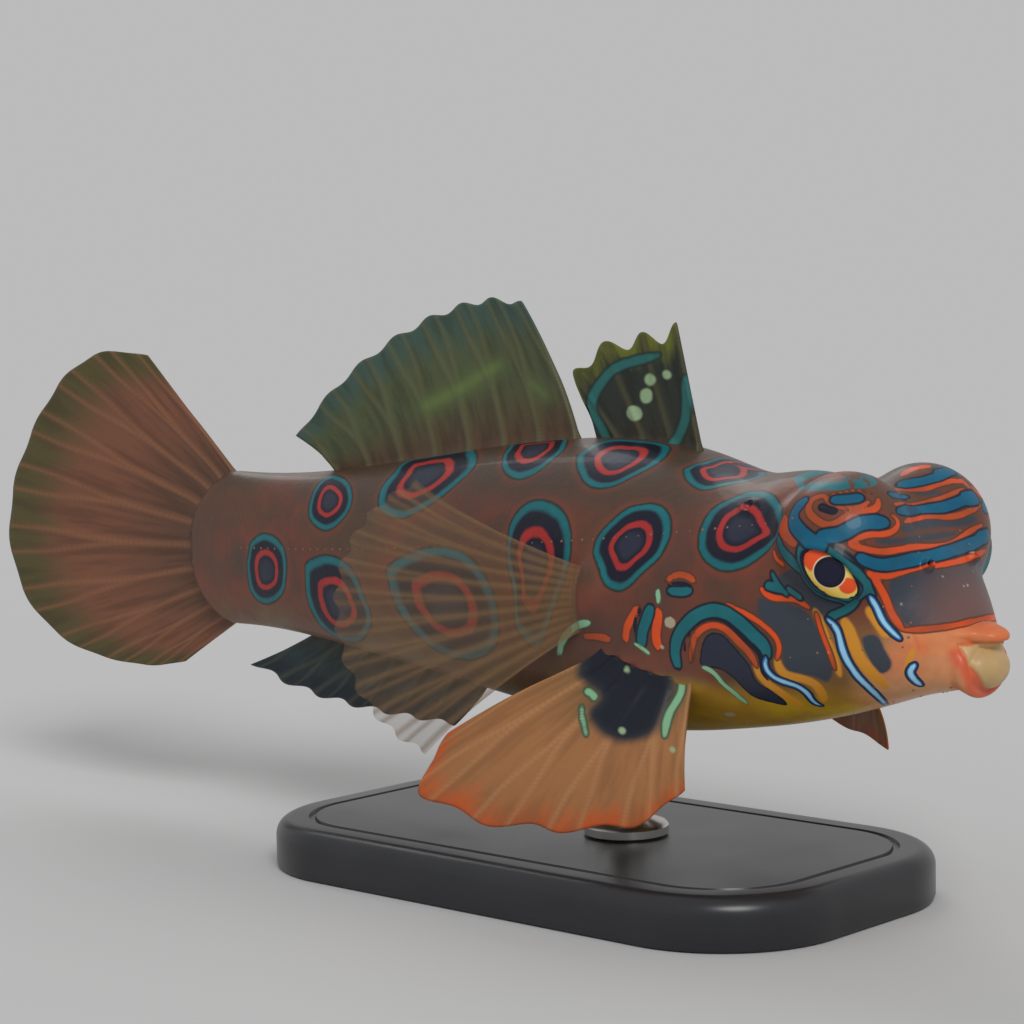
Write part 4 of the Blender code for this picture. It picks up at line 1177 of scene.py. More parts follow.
@dataclass(frozen=True)
class FinPlan:
    """One fin: where its rays start and end and how its web is held between them."""

    name: str
    slot: str
    roots: Points
    tips: Points
    bow: tuple = (0.0, 0.0, 0.0)
    scallop: float = 0.06
    spineless: int = 0
    ray_half: float = 0.17
    web_half: float = 0.05
    root_half: float = 0.32
    rows: int = 56
    steps: int = 20
    branching: float = 0.2

    @property
    def kind(self) -> str:
        """The fin's name without its side."""
        return self.name.removesuffix("_right").removesuffix("_left")


class Fins:
    """The eight fins, each one closed sheet with its rays as ridges, rooted in the skin."""

    def __init__(self, sizes: FinSizes, flesh: Flesh, camera: PhotoCamera) -> None:
        """Keeps the sizes, the body that the fins are rooted in and the camera that reads their markings."""
        self.sizes, self.flesh, self.camera = sizes, flesh, camera
        self.kept: dict[str, dict[str, Points]] = {}

    def _on_back(self, xs: Points, up: float = 1.0) -> Points:
        """Roots on the middle plane, in the back where up is 1 and in the belly where it is -1."""
        starts = np.stack([xs, np.zeros(len(xs)), np.zeros(len(xs))], -1)
        return self.flesh.along(starts, (0.0, 0.0, up), self.sizes.root_level)

    def plans(self) -> list[FinPlan]:
        """The eight fins' plans.

        Returns:
            The plans.
        """
        plans = [self._first_dorsal(), self._second_dorsal(), self._anal(), self._caudal()]
        for side in Side:
            plans += [self._pectoral(side), self._pelvic(side)]
        return plans

    def _first_dorsal(self) -> FinPlan:
        """The first dorsal fin: four spines and the web's hind edge.

        Returns:
            Its plan.
        """
        roots = self._on_back(np.array(self.sizes.first_dorsal_roots))
        tips = np.array([(x, 0.0, z) for x, z in self.sizes.first_dorsal_tips])
        return FinPlan("first_dorsal_fin", "fin_web", roots, tips, scallop=0.13, spineless=1, branching=0.0)

    def _second_dorsal(self) -> FinPlan:
        """The second dorsal fin, which falls towards the tail.

        Returns:
            Its plan.
        """
        s = self.sizes
        share = np.linspace(0, 1, s.second_dorsal_rays)
        roots = self._on_back(across(s.second_dorsal_roots, share))
        wave = s.second_dorsal_wave * np.sin(1.5 * pi * share)
        tip_z = across(s.second_dorsal_heights, share**s.second_dorsal_fall) - 0.4 * (1 - share) ** 8
        tips = np.stack([across(s.second_dorsal_tips, share), wave, tip_z], -1)
        return FinPlan("second_dorsal_fin", "fin_web", roots, tips, bow=(0.8, 0.0, 0.0), scallop=0.04)

    def _anal(self) -> FinPlan:
        """The anal fin, whose rays lean back under the tail stalk.

        Returns:
            Its plan.
        """
        s = self.sizes
        share = np.linspace(0, 1, s.anal_rays)
        roots = self._on_back(across(s.anal_roots, share), up=-1.0)
        wave = s.anal_wave * np.sin(pi * share)
        tips = np.stack([across(s.anal_tips, share), wave, across(s.anal_heights, share**s.anal_fall)], -1)
        return FinPlan("anal_fin", "fin_web", roots, tips, bow=(0.5, 0.0, 0.0), scallop=0.08, rows=40)

    def _caudal(self) -> FinPlan:
        """The tail fin: a wide round fan that wraps the tail's end.

        Returns:
            Its plan.
        """
        s = self.sizes
        share = np.linspace(0, 1, s.caudal_rays)
        angles, reaches = np.array(s.caudal_outline).T
        angle = across((angles[-1], angles[0]), share)
        reach, turn, (x, z) = spline(angles, reaches, angle), np.radians(angle), s.caudal_centre
        bend = -s.caudal_bend * np.sin(pi * share)
        tips = np.stack([x - reach * np.cos(turn), bend, z + reach * np.sin(turn)], -1)
        aim = across(s.caudal_root_angles, share)
        directions = np.stack([np.cos(aim), np.zeros_like(aim), np.sin(aim)], -1)
        roots = self.flesh.along(s.caudal_root_centre, directions, s.root_level)
        return FinPlan("caudal_fin", "orange_fin", roots, tips, scallop=0.012, rows=80)

    def _pectoral(self, side: Side) -> FinPlan:
        """A pectoral fin: a clear round fan that sweeps back from the flank.

        Args:
            side: Which one it is.

        Returns:
            Its plan.
        """
        s, sign = self.sizes, side.value
        share = np.linspace(0, 1, s.pectoral_rays)
        angle = np.radians(across(s.pectoral_angles, share))
        reach = s.pectoral_reach * (0.6 + 0.4 * np.sin(pi * (0.05 + 0.8 * share)))
        spread = np.radians(s.pectoral_spread * (1.3 - 0.7 * share))
        start_x = np.full(len(share), s.pectoral_root_x)
        starts = np.stack([start_x, np.zeros_like(share), across(s.pectoral_root_heights, share)], -1)
        outer, roots = (self.flesh.along(starts, (-0.1, sign, 0.0), level) for level in s.pectoral_levels)
        level = np.cos(spread)
        sweep = np.stack([-np.cos(angle) * level, sign * np.sin(spread), np.sin(angle) * level], -1)
        return FinPlan(
            f"pectoral_fin_{side.name.lower()}", "clear_fin", roots, outer + sweep * reach[:, None],
            bow=(0.0, sign * 1.9, 0.0), scallop=0.03, ray_half=0.1, web_half=0.03, root_half=0.25, steps=18,
        )

    def _pelvic(self, side: Side) -> FinPlan:
        """A pelvic fin: the right one spread down and back, the left one held out more level.

        Args:
            side: Which one it is.

        Returns:
            Its plan.
        """
        s, sign = self.sizes, side.value
        tips = np.array({Side.RIGHT: s.near_pelvic_tips, Side.LEFT: s.far_pelvic_tips}[side])
        share = np.linspace(0, 1, len(tips))
        x, z = (first * (1 - share) + last * share for first, last in zip(*s.pelvic_roots, strict=True))
        starts = np.stack([x, np.zeros_like(x), z + 1.0], -1)
        ends = np.stack([x, np.full(len(x), s.pelvic_root_reach * sign), z], -1)
        roots = self.flesh.along(starts, ends - starts, s.root_level)
        return FinPlan(
            f"pelvic_fin_{side.name.lower()}", "orange_fin", roots, tips,
            bow=(0.5, sign * 1.1, 0.5), scallop=0.05, steps=24, rows=70,
        )

    def make(self, plan: FinPlan, material: bpy.types.Material) -> bpy.types.Object:
        """Makes one fin.

        Args:
            plan: Its plan.
            material: Its finish.

        Returns:
            The new piece, which replaces the fin's solid.
        """
        s, rays = self.sizes, len(plan.roots)
        places = np.linspace(0, rays - 1, (rays - 1) * plan.steps + 1)
        share = np.linspace(0, 1, plan.rows)
        root, tip = (
            np.stack([spline(np.arange(rays), column, places) for column in ends.T], -1)
            for ends in (plan.roots, plan.tips)
        )
        dip = plan.scallop * np.sin(pi * (places % 1.0)) ** 2
        tip = tip - (tip - root) * dip[:, None]
        grid = root[:, None] * (1 - share[None, :, None]) + tip[:, None] * share[None, :, None]
        grid = grid + (2 * share * (1 - share))[None, :, None] * np.asarray(plan.bow, float)
        along_fin, along_ray = np.gradient(grid, axis=0), np.gradient(grid, axis=1)
        normal = unit(np.cross(along_fin, along_ray))
        from_ray = np.abs(places - np.round(places))
        spread = np.linalg.norm(along_fin, axis=-1) * (places[1] - places[0]) ** -1
        fork = plan.branching * smoothstep(s.fork_start, s.fork_end, share)[None, :]
        width = s.ray_width - s.ray_narrowing * share[None, :]
        near_ray = np.exp(-(((from_ray[:, None] - fork) * spread / width) ** 2))
        near_ray *= (places < rays - plan.spineless - 0.5)[:, None]
        ridge = (plan.ray_half - plan.web_half) * (1 - 0.75 * share)[None, :] * near_ray
        flare = (plan.root_half - plan.web_half) * np.clip(1 - share / s.flare_share, 0, 1)[None, :] ** 2
        half = (plan.web_half + ridge + flare) * np.where(share > 0.995, 0.4, 1.0)[None, :]
        front, back = grid + normal * half[..., None], grid - normal * half[..., None]
        points = np.concatenate([front.reshape(-1, 3), back.reshape(-1, 3)])
        columns = len(places)
        faces = self._sheet_faces(columns, plan.rows)
        attributes = {
            "place": np.tile(np.repeat(places, plan.rows), 2),
            "share": np.tile(np.tile(share, columns), 2),
            "ray": np.tile(near_ray.reshape(-1), 2),
        }
        attributes |= self._marks(plan, grid)
        piece = new_piece(f"{plan.name}_web", points, faces, material, attributes)
        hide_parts(plan.name)
        return piece

    def _marks(self, plan: FinPlan, grid: Points) -> dict[str, Points]:
        """The fin's markings, read on the fin that the photograph shows and kept for its twin.

        Args:
            plan: The fin's plan.
            grid: The middle of its web.

        Returns:
            For each family, a signed distance for each point of both faces.
        """
        kind = plan.kind
        if kind not in self.kept:
            pixels, scale = self.camera.pixels(grid.reshape(-1, 3)), self.camera.focal / self.camera.distance
            values = {paint.value: np.full(len(pixels), TracePainter.FAR) for paint in FIN_PAINTS}
            for trace in FIN_TRACES.get(kind, []):
                line = smooth_line(trace.window.pixels(trace.points), trace.closed)
                if trace.closed:
                    far, inside = flat_distance(pixels, line)
                    far = np.where(inside, -far, far) / scale
                else:
                    far = TracePainter.stripe(pixels, line, trace.half * scale) / scale
                kept = values[trace.paint.value]
                np.minimum(kept, far, out=kept)
            self.kept[kind] = {name: np.tile(value, 2) for name, value in values.items()}
        return self.kept[kind]

    @staticmethod
    def _sheet_faces(columns: int, rows: int) -> list[list[int]]:
        """The faces of a closed sheet with two sides.

        Args:
            columns: How many columns of points a side has.
            rows: How many points a column has.

        Returns:
            The faces.
        """
        other = columns * rows
        faces = []
        for i in range(columns - 1):
            for j in range(rows - 1):
                a, b = i * rows + j, (i + 1) * rows + j
                faces.append([a, b, b + 1, a + 1])
                faces.append([other + a, other + a + 1, other + b + 1, other + b])
        edge = [i * rows for i in range(columns)]
        edge += [(columns - 1) * rows + j for j in range(1, rows)]
        edge += [i * rows + rows - 1 for i in range(columns - 2, -1, -1)]
        edge += [j for j in range(rows - 2, 0, -1)]
        for a, b in zip(edge, edge[1:] + edge[:1], strict=True):
            faces.append([b, a, other + a, other + b])
        return faces


# What repeats: the pores along each flank and the freckles of the head


@dataclass(frozen=True)
class PoreSizes:
    """Where the pores lie and how large they are."""

    line_x: tuple = (5.0, 12.0, 24.0, 34.0, 40.5)
    line_z: tuple = (0.3, 0.7, 1.7, 2.7, 3.5)
    pitch: float = 0.62
    freckles: int = 26
    smallest: float = 0.035
    largest: float = 0.065
    seed: int = 11
    freckle_turns: tuple = (-0.5, 0.4)
    freckle_tilts: tuple = (28, 100)
    off_the_eyes: float = 0.6
    mouth_x: float = 48.0
    dome_height: float = 0.55


class Pores:
    """Tiny domes of skin, set by geometry nodes on chosen places."""

    def __init__(self, flesh: Flesh, eyes: list[Eye]) -> None:
        """Keeps the body that the pores stand on and the eyes that they keep off."""
        self.flesh, self.eyes, self.sizes = flesh, eyes, PoreSizes()

    def _places(self) -> Points:
        """The places of the pores.

        Returns:
            Points on the skin.
        """
        s = self.sizes
        x = np.arange(s.line_x[0], s.line_x[-1], s.pitch)
        starts = np.stack([x, np.zeros_like(x), spline(s.line_x, s.line_z, x)], -1)
        found = [self.flesh.along(starts, (0.0, side.value, 0.0)) for side in Side]
        chance = np.random.default_rng(s.seed)
        turns = chance.uniform(*s.freckle_turns, s.freckles) * pi
        tilts = np.radians(chance.uniform(*s.freckle_tilts, s.freckles))
        for side in Side:
            flank, rise = side.value * np.sin(tilts) * np.cos(turns), np.sin(tilts) * np.sin(turns)
            ways = np.stack([np.cos(tilts), flank, rise], -1)
            found.append(self.flesh.along(self.flesh.sizes.head_fan_centre, ways))
        points = np.concatenate(found)
        clear = np.minimum(*(eye.from_almond(points) for eye in self.eyes)) > s.off_the_eyes
        return points[clear & (points[:, 0] < s.mouth_x)]

    def _tree(self, material: bpy.types.Material) -> bpy.types.NodeTree:
        """The geometry nodes that stand a dome on each point.

        Args:
            material: The domes' finish.

        Returns:
            The tree, with the domes' smallest and largest radius and the seed as inputs.
        """
        tree = bpy.data.node_groups.new("pores_on_points", "GeometryNodeTree")
        face = tree.interface
        face.new_socket("Points", in_out="INPUT", socket_type="NodeSocketGeometry")
        for name in ("Smallest", "Largest"):
            face.new_socket(name, in_out="INPUT", socket_type="NodeSocketFloat")
        face.new_socket("Seed", in_out="INPUT", socket_type="NodeSocketInt")
        face.new_socket("Domes", in_out="OUTPUT", socket_type="NodeSocketGeometry")
        g = Graph(tree)
        entry, leave = g.add("NodeGroupInput").outputs, g.add("NodeGroupOutput").inputs
        ball = g.add("GeometryNodeMeshIcoSphere", {"Radius": 1.0, "Subdivisions": 3}).outputs["Mesh"]
        flat = (1.0, 1.0, self.sizes.dome_height)
        dome = g.add("GeometryNodeTransform", {"Geometry": ball, "Scale": flat}).outputs[0]
        out = g.add("GeometryNodeInputNamedAttribute", {"Name": "out"}, data_type="FLOAT_VECTOR").outputs[0]
        turned = g.add("FunctionNodeAlignRotationToVector", {"Vector": out}, axis="Z").outputs[0]
        chance = g.add("FunctionNodeRandomValue", data_type="FLOAT")
        radius = g.feed(chance, {"Min": entry["Smallest"], "Max": entry["Largest"], "Seed": entry["Seed"]})
        placed = g.add("GeometryNodeInstanceOnPoints", {
            "Points": entry["Points"], "Instance": dome, "Rotation": turned, "Scale": radius,
        }).outputs[0]
        real = g.add("GeometryNodeRealizeInstances", {"Geometry": placed}).outputs[0]
        smooth = g.add("GeometryNodeSetShadeSmooth", {"Geometry": real}).outputs[0]
        finished = g.add("GeometryNodeSetMaterial", {"Geometry": smooth, "Material": material}).outputs[0]
        g.give(leave["Domes"], finished)
        return tree

    def make(self, material: bpy.types.Material) -> bpy.types.Object:
        """Makes the pores as one piece.

        Args:
            material: Their finish.

        Returns:
            The new piece.
        """
        places = self._places()
        mesh = bpy.data.meshes.new("pore_places")
        mesh.from_pydata(to_part(places).tolist(), [], [])
        kept = mesh.attributes.new("out", "FLOAT_VECTOR", "POINT")
        kept.data.foreach_set("vector", np.ascontiguousarray(self.flesh.normals(places), np.float32).ravel())
        source = bpy.data.objects.new("pore_places", mesh)
        bpy.context.scene.collection.objects.link(source)
        modifier = source.modifiers.new("domes", "NODES")
        modifier.node_group = self._tree(material)
        s = self.sizes
        wanted = {"Smallest": s.smallest * MM, "Largest": s.largest * MM, "Seed": s.seed}
        for item in modifier.node_group.interface.items_tree:
            if item.in_out == "INPUT" and item.name in wanted:
                modifier[item.identifier] = wanted[item.name]
        ready = source.evaluated_get(bpy.context.evaluated_depsgraph_get())
        made = bpy.data.meshes.new_from_object(ready)
        source.modifiers.remove(modifier)
        bpy.data.objects.remove(source)
        piece = bpy.data.objects.new("skin_pores", made)
        bpy.context.scene.collection.objects.link(piece)
        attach(piece, BODY)
        return piece


# The stand


@dataclass(frozen=True)
class StandSizes:
    """The stand's form; the underside's and the groove's pairs are an inset and a height."""

    turned: int = 64
    corner_steps: int = 24
    length: float = 32.0
    width: float = 18.0
    height: float = 2.4
    corner: float = 6.0
    bevel: float = 0.8
    middle_x: float = 27.0
    floor: float = -14.4
    rod_x: float = 29.0
    rod_radius: float = 0.9
    foot_radius: float = 2.0
    cup_radius: float = 1.5
    underside: tuple = ((0.3, 0.0), (0.08, 0.08), (0.0, 0.3))
    groove: tuple = ((1.6, 0.0), (1.66, -0.14), (1.9, -0.14), (1.96, 0.0), (2.4, 0.0))
    sunk: float = 0.12
    sharp: float = radians(35)


class Stand:
    """A flat base with a groove round its top, and one turned rod up to the belly."""

    def __init__(self, sizes: StandSizes, flesh: Flesh) -> None:
        """Keeps the sizes and the body that the rod holds."""
        self.sizes, self.flesh = sizes, flesh

    def _base_rings(self) -> Points:
        """The base's rings, from the underside's middle over the rim to the top's middle.

        Returns:
            The rings of points.
        """
        s = self.sizes
        turns = np.concatenate([q * pi / 2 + np.linspace(0, pi / 2, s.corner_steps) for q in range(4)])
        quarter = np.repeat([(1, 1), (-1, 1), (-1, -1), (1, -1)], s.corner_steps, axis=0)
        rim = [*s.underside, (0.0, s.height - s.bevel)]
        for a in np.linspace(0.15, pi / 2, 9):
            rim.append((s.bevel * (1 - cos(a)), s.height + s.bevel * (sin(a) - 1)))
        rim += [(inset, s.height + z) for inset, z in s.groove]
        rings = []
        for inset, z in rim:
            flat = quarter * (s.length / 2 - s.corner, s.width / 2 - s.corner)
            flat = flat + (s.corner - inset) * np.stack([np.cos(turns), np.sin(turns)], -1)
            level = np.full(len(flat), s.floor + z)
            rings.append(np.column_stack([flat[:, 0] + s.middle_x, flat[:, 1], level]))
        return np.array(rings)

    def _rod_rings(self) -> Points:
        """The rod's rings, from its foot to the cup under the belly.

        Returns:
            The rings of points.
        """
        s = self.sizes
        belly = self.flesh.along((s.rod_x, 0.0, 0.0), (0.0, 0.0, -1.0))[2]
        foot, top = s.floor + s.height, belly + s.sunk
        profile = [
            (s.foot_radius - 0.1, foot), (s.foot_radius, foot + 0.1), (s.foot_radius, foot + 0.45),
            (s.foot_radius - 0.12, foot + 0.6), (s.rod_radius + 0.4, foot + 0.8), (s.rod_radius, foot + 1.2),
            (s.rod_radius, top - 1.5), (s.cup_radius - 0.3, top - 0.95), (s.cup_radius - 0.03, top - 0.6),
            (s.cup_radius, top - 0.5), (s.cup_radius, top - 0.1), (s.cup_radius - 0.1, top),
        ]
        turns = np.linspace(0, 2 * pi, s.turned, endpoint=False)
        x, y, level = np.cos(turns), np.sin(turns), np.ones_like(turns)
        return np.array([np.column_stack([s.rod_x + r * x, r * y, z * level]) for r, z in profile])

    def make(self, grain: bpy.types.NodeTree) -> list[bpy.types.Object]:
        """Makes the base and the rod.

        Args:
            grain: The shared grain.

        Returns:
            The new pieces, which replace the stand's solids.
        """
        pieces = []
        plate = plain_look("satin_plate", "stand_plate", (30, 31, 34), (44, 45, 49), grain)
        metal = plain_look("turned_steel", "stand_metal", (196, 194, 190), (222, 220, 216), grain)
        for node, slot, rings, finish in (
            ("stand_base", "stand_plate", self._base_rings(), plate),
            ("stand_rod", "stand_metal", self._rod_rings(), metal),
        ):
            points, faces = tube(rings, [rings[0].mean(0), rings[-1].mean(0)])
            piece = new_piece(f"{node}_turned", points, faces, finish)
            piece.data.set_sharp_from_angle(angle=self.sizes.sharp)
            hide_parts(node)
            pieces.append(piece)
        return pieces


# Finishes


@dataclass(frozen=True)
class Finish:
    """A plain start of a material: its colour and how it shines."""

    colour: tuple
    roughness: float
    metallic: float = 0.0
    coat: float = 0.0
    specular: float = 0.5


FINISHES = {
    "skin": Finish((0.09, 0.035, 0.025), 0.45, coat=0.1, specular=0.28),
    "fin_web": Finish((0.06, 0.07, 0.035), 0.5, specular=0.25),
    "clear_fin": Finish((0.25, 0.2, 0.14), 0.4, specular=0.25),
    "orange_fin": Finish((0.28, 0.12, 0.05), 0.5, specular=0.25),
    "eye_glass": Finish((0.02, 0.02, 0.05), 0.1, coat=0.5, specular=0.1),
    "stand_plate": Finish((0.03, 0.03, 0.035), 0.3),
    "stand_metal": Finish((0.75, 0.74, 0.72), 0.25, metallic=1.0),
    "paper": Finish((0.574, 0.574, 0.574), 1.0, specular=0.0),
}


def plain_material(name: str, kind: str) -> bpy.types.Material:
    """A material with a finish's plain values.

    Args:
        name: The material's name.
        kind: The finish's name.

    Returns:
        The new material.
    """
    finish = FINISHES[kind]
    made = bpy.data.materials.new(name)
    made.use_nodes = True
    shader = made.node_tree.nodes["Principled BSDF"]
    shader.inputs["Base Color"].default_value = (*finish.colour, 1.0)
    shader.inputs["Roughness"].default_value = finish.roughness
    shader.inputs["Metallic"].default_value = finish.metallic
    shader.inputs["Coat Weight"].default_value = finish.coat
    shader.inputs["Specular IOR Level"].default_value = finish.specular
    return made


def srgb(red: float, green: float, blue: float) -> tuple[float, float, float, float]:
    """A colour as the eye reads it, in the light's own linear measure.

    Args:
        red: Red, 0 to 255.
        green: Green, 0 to 255.
        blue: Blue, 0 to 255.

    Returns:
        The linear colour, with a fourth number for full cover.
    """
    parts = [v / 255 for v in (red, green, blue)]
    linear = [v / 12.92 if v <= 0.04045 else ((v + 0.055) / 1.055) ** 2.4 for v in parts]
    return (*linear, 1.0)


class Graph:
    """Builds the nodes of one material or node group."""

    def __init__(self, tree: bpy.types.NodeTree) -> None:
        """Keeps the tree that the nodes go in."""
        self.tree = tree

    def add(self, kind: str, inputs: dict | None = None, **settings: object) -> bpy.types.Node:
        """Adds a node.

        Args:
            kind: Its type.
            inputs: What its inputs take, a number, a colour or another node's output.
            settings: Its own settings.

        Returns:
            The node.
        """
        node = self.tree.nodes.new(kind)
        for key, value in settings.items():
            setattr(node, key, value)
        for key, value in (inputs or {}).items():
            self.give(node.inputs[key], value)
        return node

    def give(self, socket: bpy.types.NodeSocket, value: object) -> None:
        """Sets or links an input.

        Args:
            socket: The input.
            value: A number, a colour or another node's output.
        """
        if isinstance(value, bpy.types.NodeSocket):
            self.tree.links.new(value, socket)
        else:
            socket.default_value = value

    def feed(self, node: bpy.types.Node, inputs: dict) -> bpy.types.NodeSocket:
        """Sets or links the inputs of a node whose settings leave only some of them open.

        Args:
            node: The node.
            inputs: What its open inputs take, by name.

        Returns:
            Its open output.
        """
        sockets = {s.name: s for s in node.inputs if s.enabled}
        for key, value in inputs.items():
            self.give(sockets[key], value)
        return next(s for s in node.outputs if s.enabled)

    def number(self, name: str) -> bpy.types.NodeSocket:
        """The value of a number kept in the mesh."""
        return self.add("ShaderNodeAttribute", attribute_name=name).outputs["Fac"]

    def math(self, operation: str, *values: object) -> bpy.types.NodeSocket:
        """The answer of an operation on numbers."""
        return self.add("ShaderNodeMath", dict(enumerate(values)), operation=operation).outputs[0]

    def mask(self, value: bpy.types.NodeSocket, low: float, high: float) -> bpy.types.NodeSocket:
        """A soft step: 0 at low and 1 at high, which may be the lower number."""
        inputs = {"Value": value, "From Min": low, "From Max": high}
        return self.add("ShaderNodeMapRange", inputs, interpolation_type="SMOOTHSTEP").outputs[0]

    def mix(self, share: object, first: object, second: object) -> bpy.types.NodeSocket:
        """Two colours mixed, with a share of the second."""
        node = self.add("ShaderNodeMix", data_type="RGBA")
        return self.feed(node, {"Factor": share, "A": first, "B": second})

    def noise(self, place: bpy.types.NodeSocket, scale: object, detail: float = 3.0) -> bpy.types.NodeSocket:
        """Smooth noise of a scale, with a number of finer layers."""
        inputs = {"Vector": place, "Scale": scale, "Detail": detail}
        return self.add("ShaderNodeTexNoise", inputs).outputs["Fac"]

    def object_place(self) -> bpy.types.NodeSocket:
        """The place on the piece, in its own coordinates."""
        return self.add("ShaderNodeTexCoord").outputs["Object"]

    def distance(self, across: object, up: object, x: float, y: float) -> bpy.types.NodeSocket:
        """How far a flat place lies from a point."""
        steps = [self.math("POWER", self.math("SUBTRACT", v, at), 2.0) for v, at in ((across, x), (up, y))]
        return self.math("SQRT", self.math("ADD", *steps))


@dataclass(frozen=True)
class FinColours:
    """A fin's colours from its root to its margin, and how much each part hides what is behind it."""

    root: tuple
    middle: tuple
    margin: tuple
    ray: tuple
    margin_start: float = 0.8
    streak: float = 0.4
    web_cover: float = 1.0
    ray_cover: float = 1.0


FIN_COLOURS = {
    "first_dorsal_fin": FinColours((58, 56, 48), (46, 52, 46), (104, 110, 42), (86, 82, 54), 0.83),
    "second_dorsal_fin": FinColours((92, 68, 50), (80, 88, 60), (66, 88, 78), (100, 100, 70), 0.78, 0.3),
    "anal_fin": FinColours((66, 64, 56), (50, 66, 68), (36, 46, 54), (76, 82, 72), 0.7),
    "caudal_fin": FinColours((96, 68, 54), (124, 80, 60), (86, 78, 46), (142, 96, 68), 0.76, 0.3),
    "pectoral_fin": FinColours(
        (134, 104, 70), (128, 104, 78), (140, 114, 84), (146, 112, 76), 0.9, 0.2,
        web_cover=0.16, ray_cover=0.42,
    ),
    "pelvic_fin": FinColours((120, 92, 56), (164, 112, 70), (196, 86, 36), (184, 132, 88), 0.9, 0.2),
}


def fine_grain() -> bpy.types.NodeTree:
    """The fine relief and mottling that all the fish's finishes share, as a node group.

    Returns:
        The group: it takes a place, a fineness and a depth, and gives a normal and a mottle.
    """
    tree = bpy.data.node_groups.new("fine_grain", "ShaderNodeTree")
    for name, way, kind in (
        ("Place", "INPUT", "NodeSocketVector"), ("Fineness", "INPUT", "NodeSocketFloat"),
        ("Depth", "INPUT", "NodeSocketFloat"), ("Normal", "OUTPUT", "NodeSocketVector"),
        ("Mottle", "OUTPUT", "NodeSocketFloat"),
    ):
        tree.interface.new_socket(name, in_out=way, socket_type=kind)
    g = Graph(tree)
    entry, leave = g.add("NodeGroupInput").outputs, g.add("NodeGroupOutput").inputs
    inputs = {"Vector": entry["Place"], "Scale": entry["Fineness"]}
    pores = g.add("ShaderNodeTexVoronoi", inputs, feature="SMOOTH_F1")
    swell = g.noise(entry["Place"], g.math("MULTIPLY", entry["Fineness"], 0.35), 4.0)
    height = g.math("ADD", g.math("MULTIPLY", pores.outputs["Distance"], 0.5), swell)
    bump = g.add("ShaderNodeBump", {"Height": height, "Strength": entry["Depth"], "Distance": 0.00008})
    g.give(leave["Normal"], bump.outputs["Normal"])
    g.give(leave["Mottle"], swell)
    return tree


class Look:
    """The start of one finish: its material, the place on the piece and the grain."""

    def __init__(
        self, name: str, finish: str, grain: bpy.types.NodeTree, fineness: float, depth: float
    ) -> None:
        """Starts the material.

        Args:
            name: The material's name.
            finish: The plain finish it starts from.
            grain: The shared grain.
            fineness: How fine the grain is.
            depth: How deep it is.
        """
        self.material = plain_material(name, finish)
        self.graph = Graph(self.material.node_tree)
        self.place = self.graph.object_place()
        self.shader = self.material.node_tree.nodes["Principled BSDF"]
        inputs = {"Place": self.place, "Fineness": fineness, "Depth": depth}
        node = self.graph.add("ShaderNodeGroup", inputs, node_tree=grain)
        self.mottle = node.outputs["Mottle"]
        self.graph.give(self.shader.inputs["Normal"], node.outputs["Normal"])

    def layer(self, colour: object, value: object, *bands: tuple) -> bpy.types.NodeSocket:
        """Lays markings over a colour.

        Args:
            colour: The colour under them.
            value: The signed distance from them.
            bands: Each the distance where it starts, how soft its edge is and its colour.

        Returns:
            The colour with the markings.
        """
        g = self.graph
        for start, soft, paint in bands:
            colour = g.mix(g.mask(value, start + soft, start - soft), colour, paint)
        return colour

    def finish(self, colour: object, gloss_low: float, gloss_high: float) -> bpy.types.Material:
        """Gives the shader its colour and an uneven gloss.

        Args:
            colour: The colour.
            gloss_low: The roughness where the mottle is low.
            gloss_high: The roughness where it is high.

        Returns:
            The finished material.
        """
        g = self.graph
        g.give(self.shader.inputs["Base Color"], colour)
        gloss = g.add("ShaderNodeMapRange", {"Value": self.mottle, "To Min": gloss_low, "To Max": gloss_high})
        g.give(self.shader.inputs["Roughness"], gloss.outputs[0])
        return self.material


SKIN_ZONES = (
    ("back", (0.4, 0.6), (78, 62, 50), (78, 62, 50)),
    ("belly", (0.4, 0.6), (126, 104, 60), (118, 78, 56)),
    ("cheek", (0.4, 0.6), (158, 106, 54), (128, 92, 50)),
    ("throat", (0.3, 0.6), (206, 168, 34), (184, 138, 48)),
    ("jaw", (0.35, 0.65), (214, 130, 84), (222, 160, 110)),
    ("beak", (0.4, 0.6), (232, 118, 66), (228, 142, 90)),
    ("lips", (0.4, 0.6), (226, 104, 66), (226, 104, 66)),
    ("pad", (0.4, 0.6), (226, 186, 138), (206, 172, 118)),
)


def skin_ground(look: Look) -> bpy.types.NodeSocket:
    """The plain colours under the markings: brown flanks, dusky back, ochre belly, gold throat, orange jaw.

    Args:
        look: The skin's finish.

    Returns:
        The colour.
    """
    g = look.graph
    blotch, patch, grain = (g.noise(look.place, *scale) for scale in ((300.0,), (140.0, 2.0), (1500.0,)))
    colour = g.mix(g.mask(blotch, 0.36, 0.62), srgb(92, 62, 52), srgb(122, 64, 46))
    colour = g.mix(g.math("MULTIPLY", g.mask(patch, 0.48, 0.62), 0.5), colour, srgb(66, 66, 48))
    for zone, edges, *colours in SKIN_ZONES:
        low, high = (srgb(*numbers) for numbers in colours)
        colour = g.mix(g.number(zone), colour, g.mix(g.mask(blotch, *edges), low, high))
    return g.mix(g.math("MULTIPLY", grain, 0.3), colour, srgb(56, 36, 30))


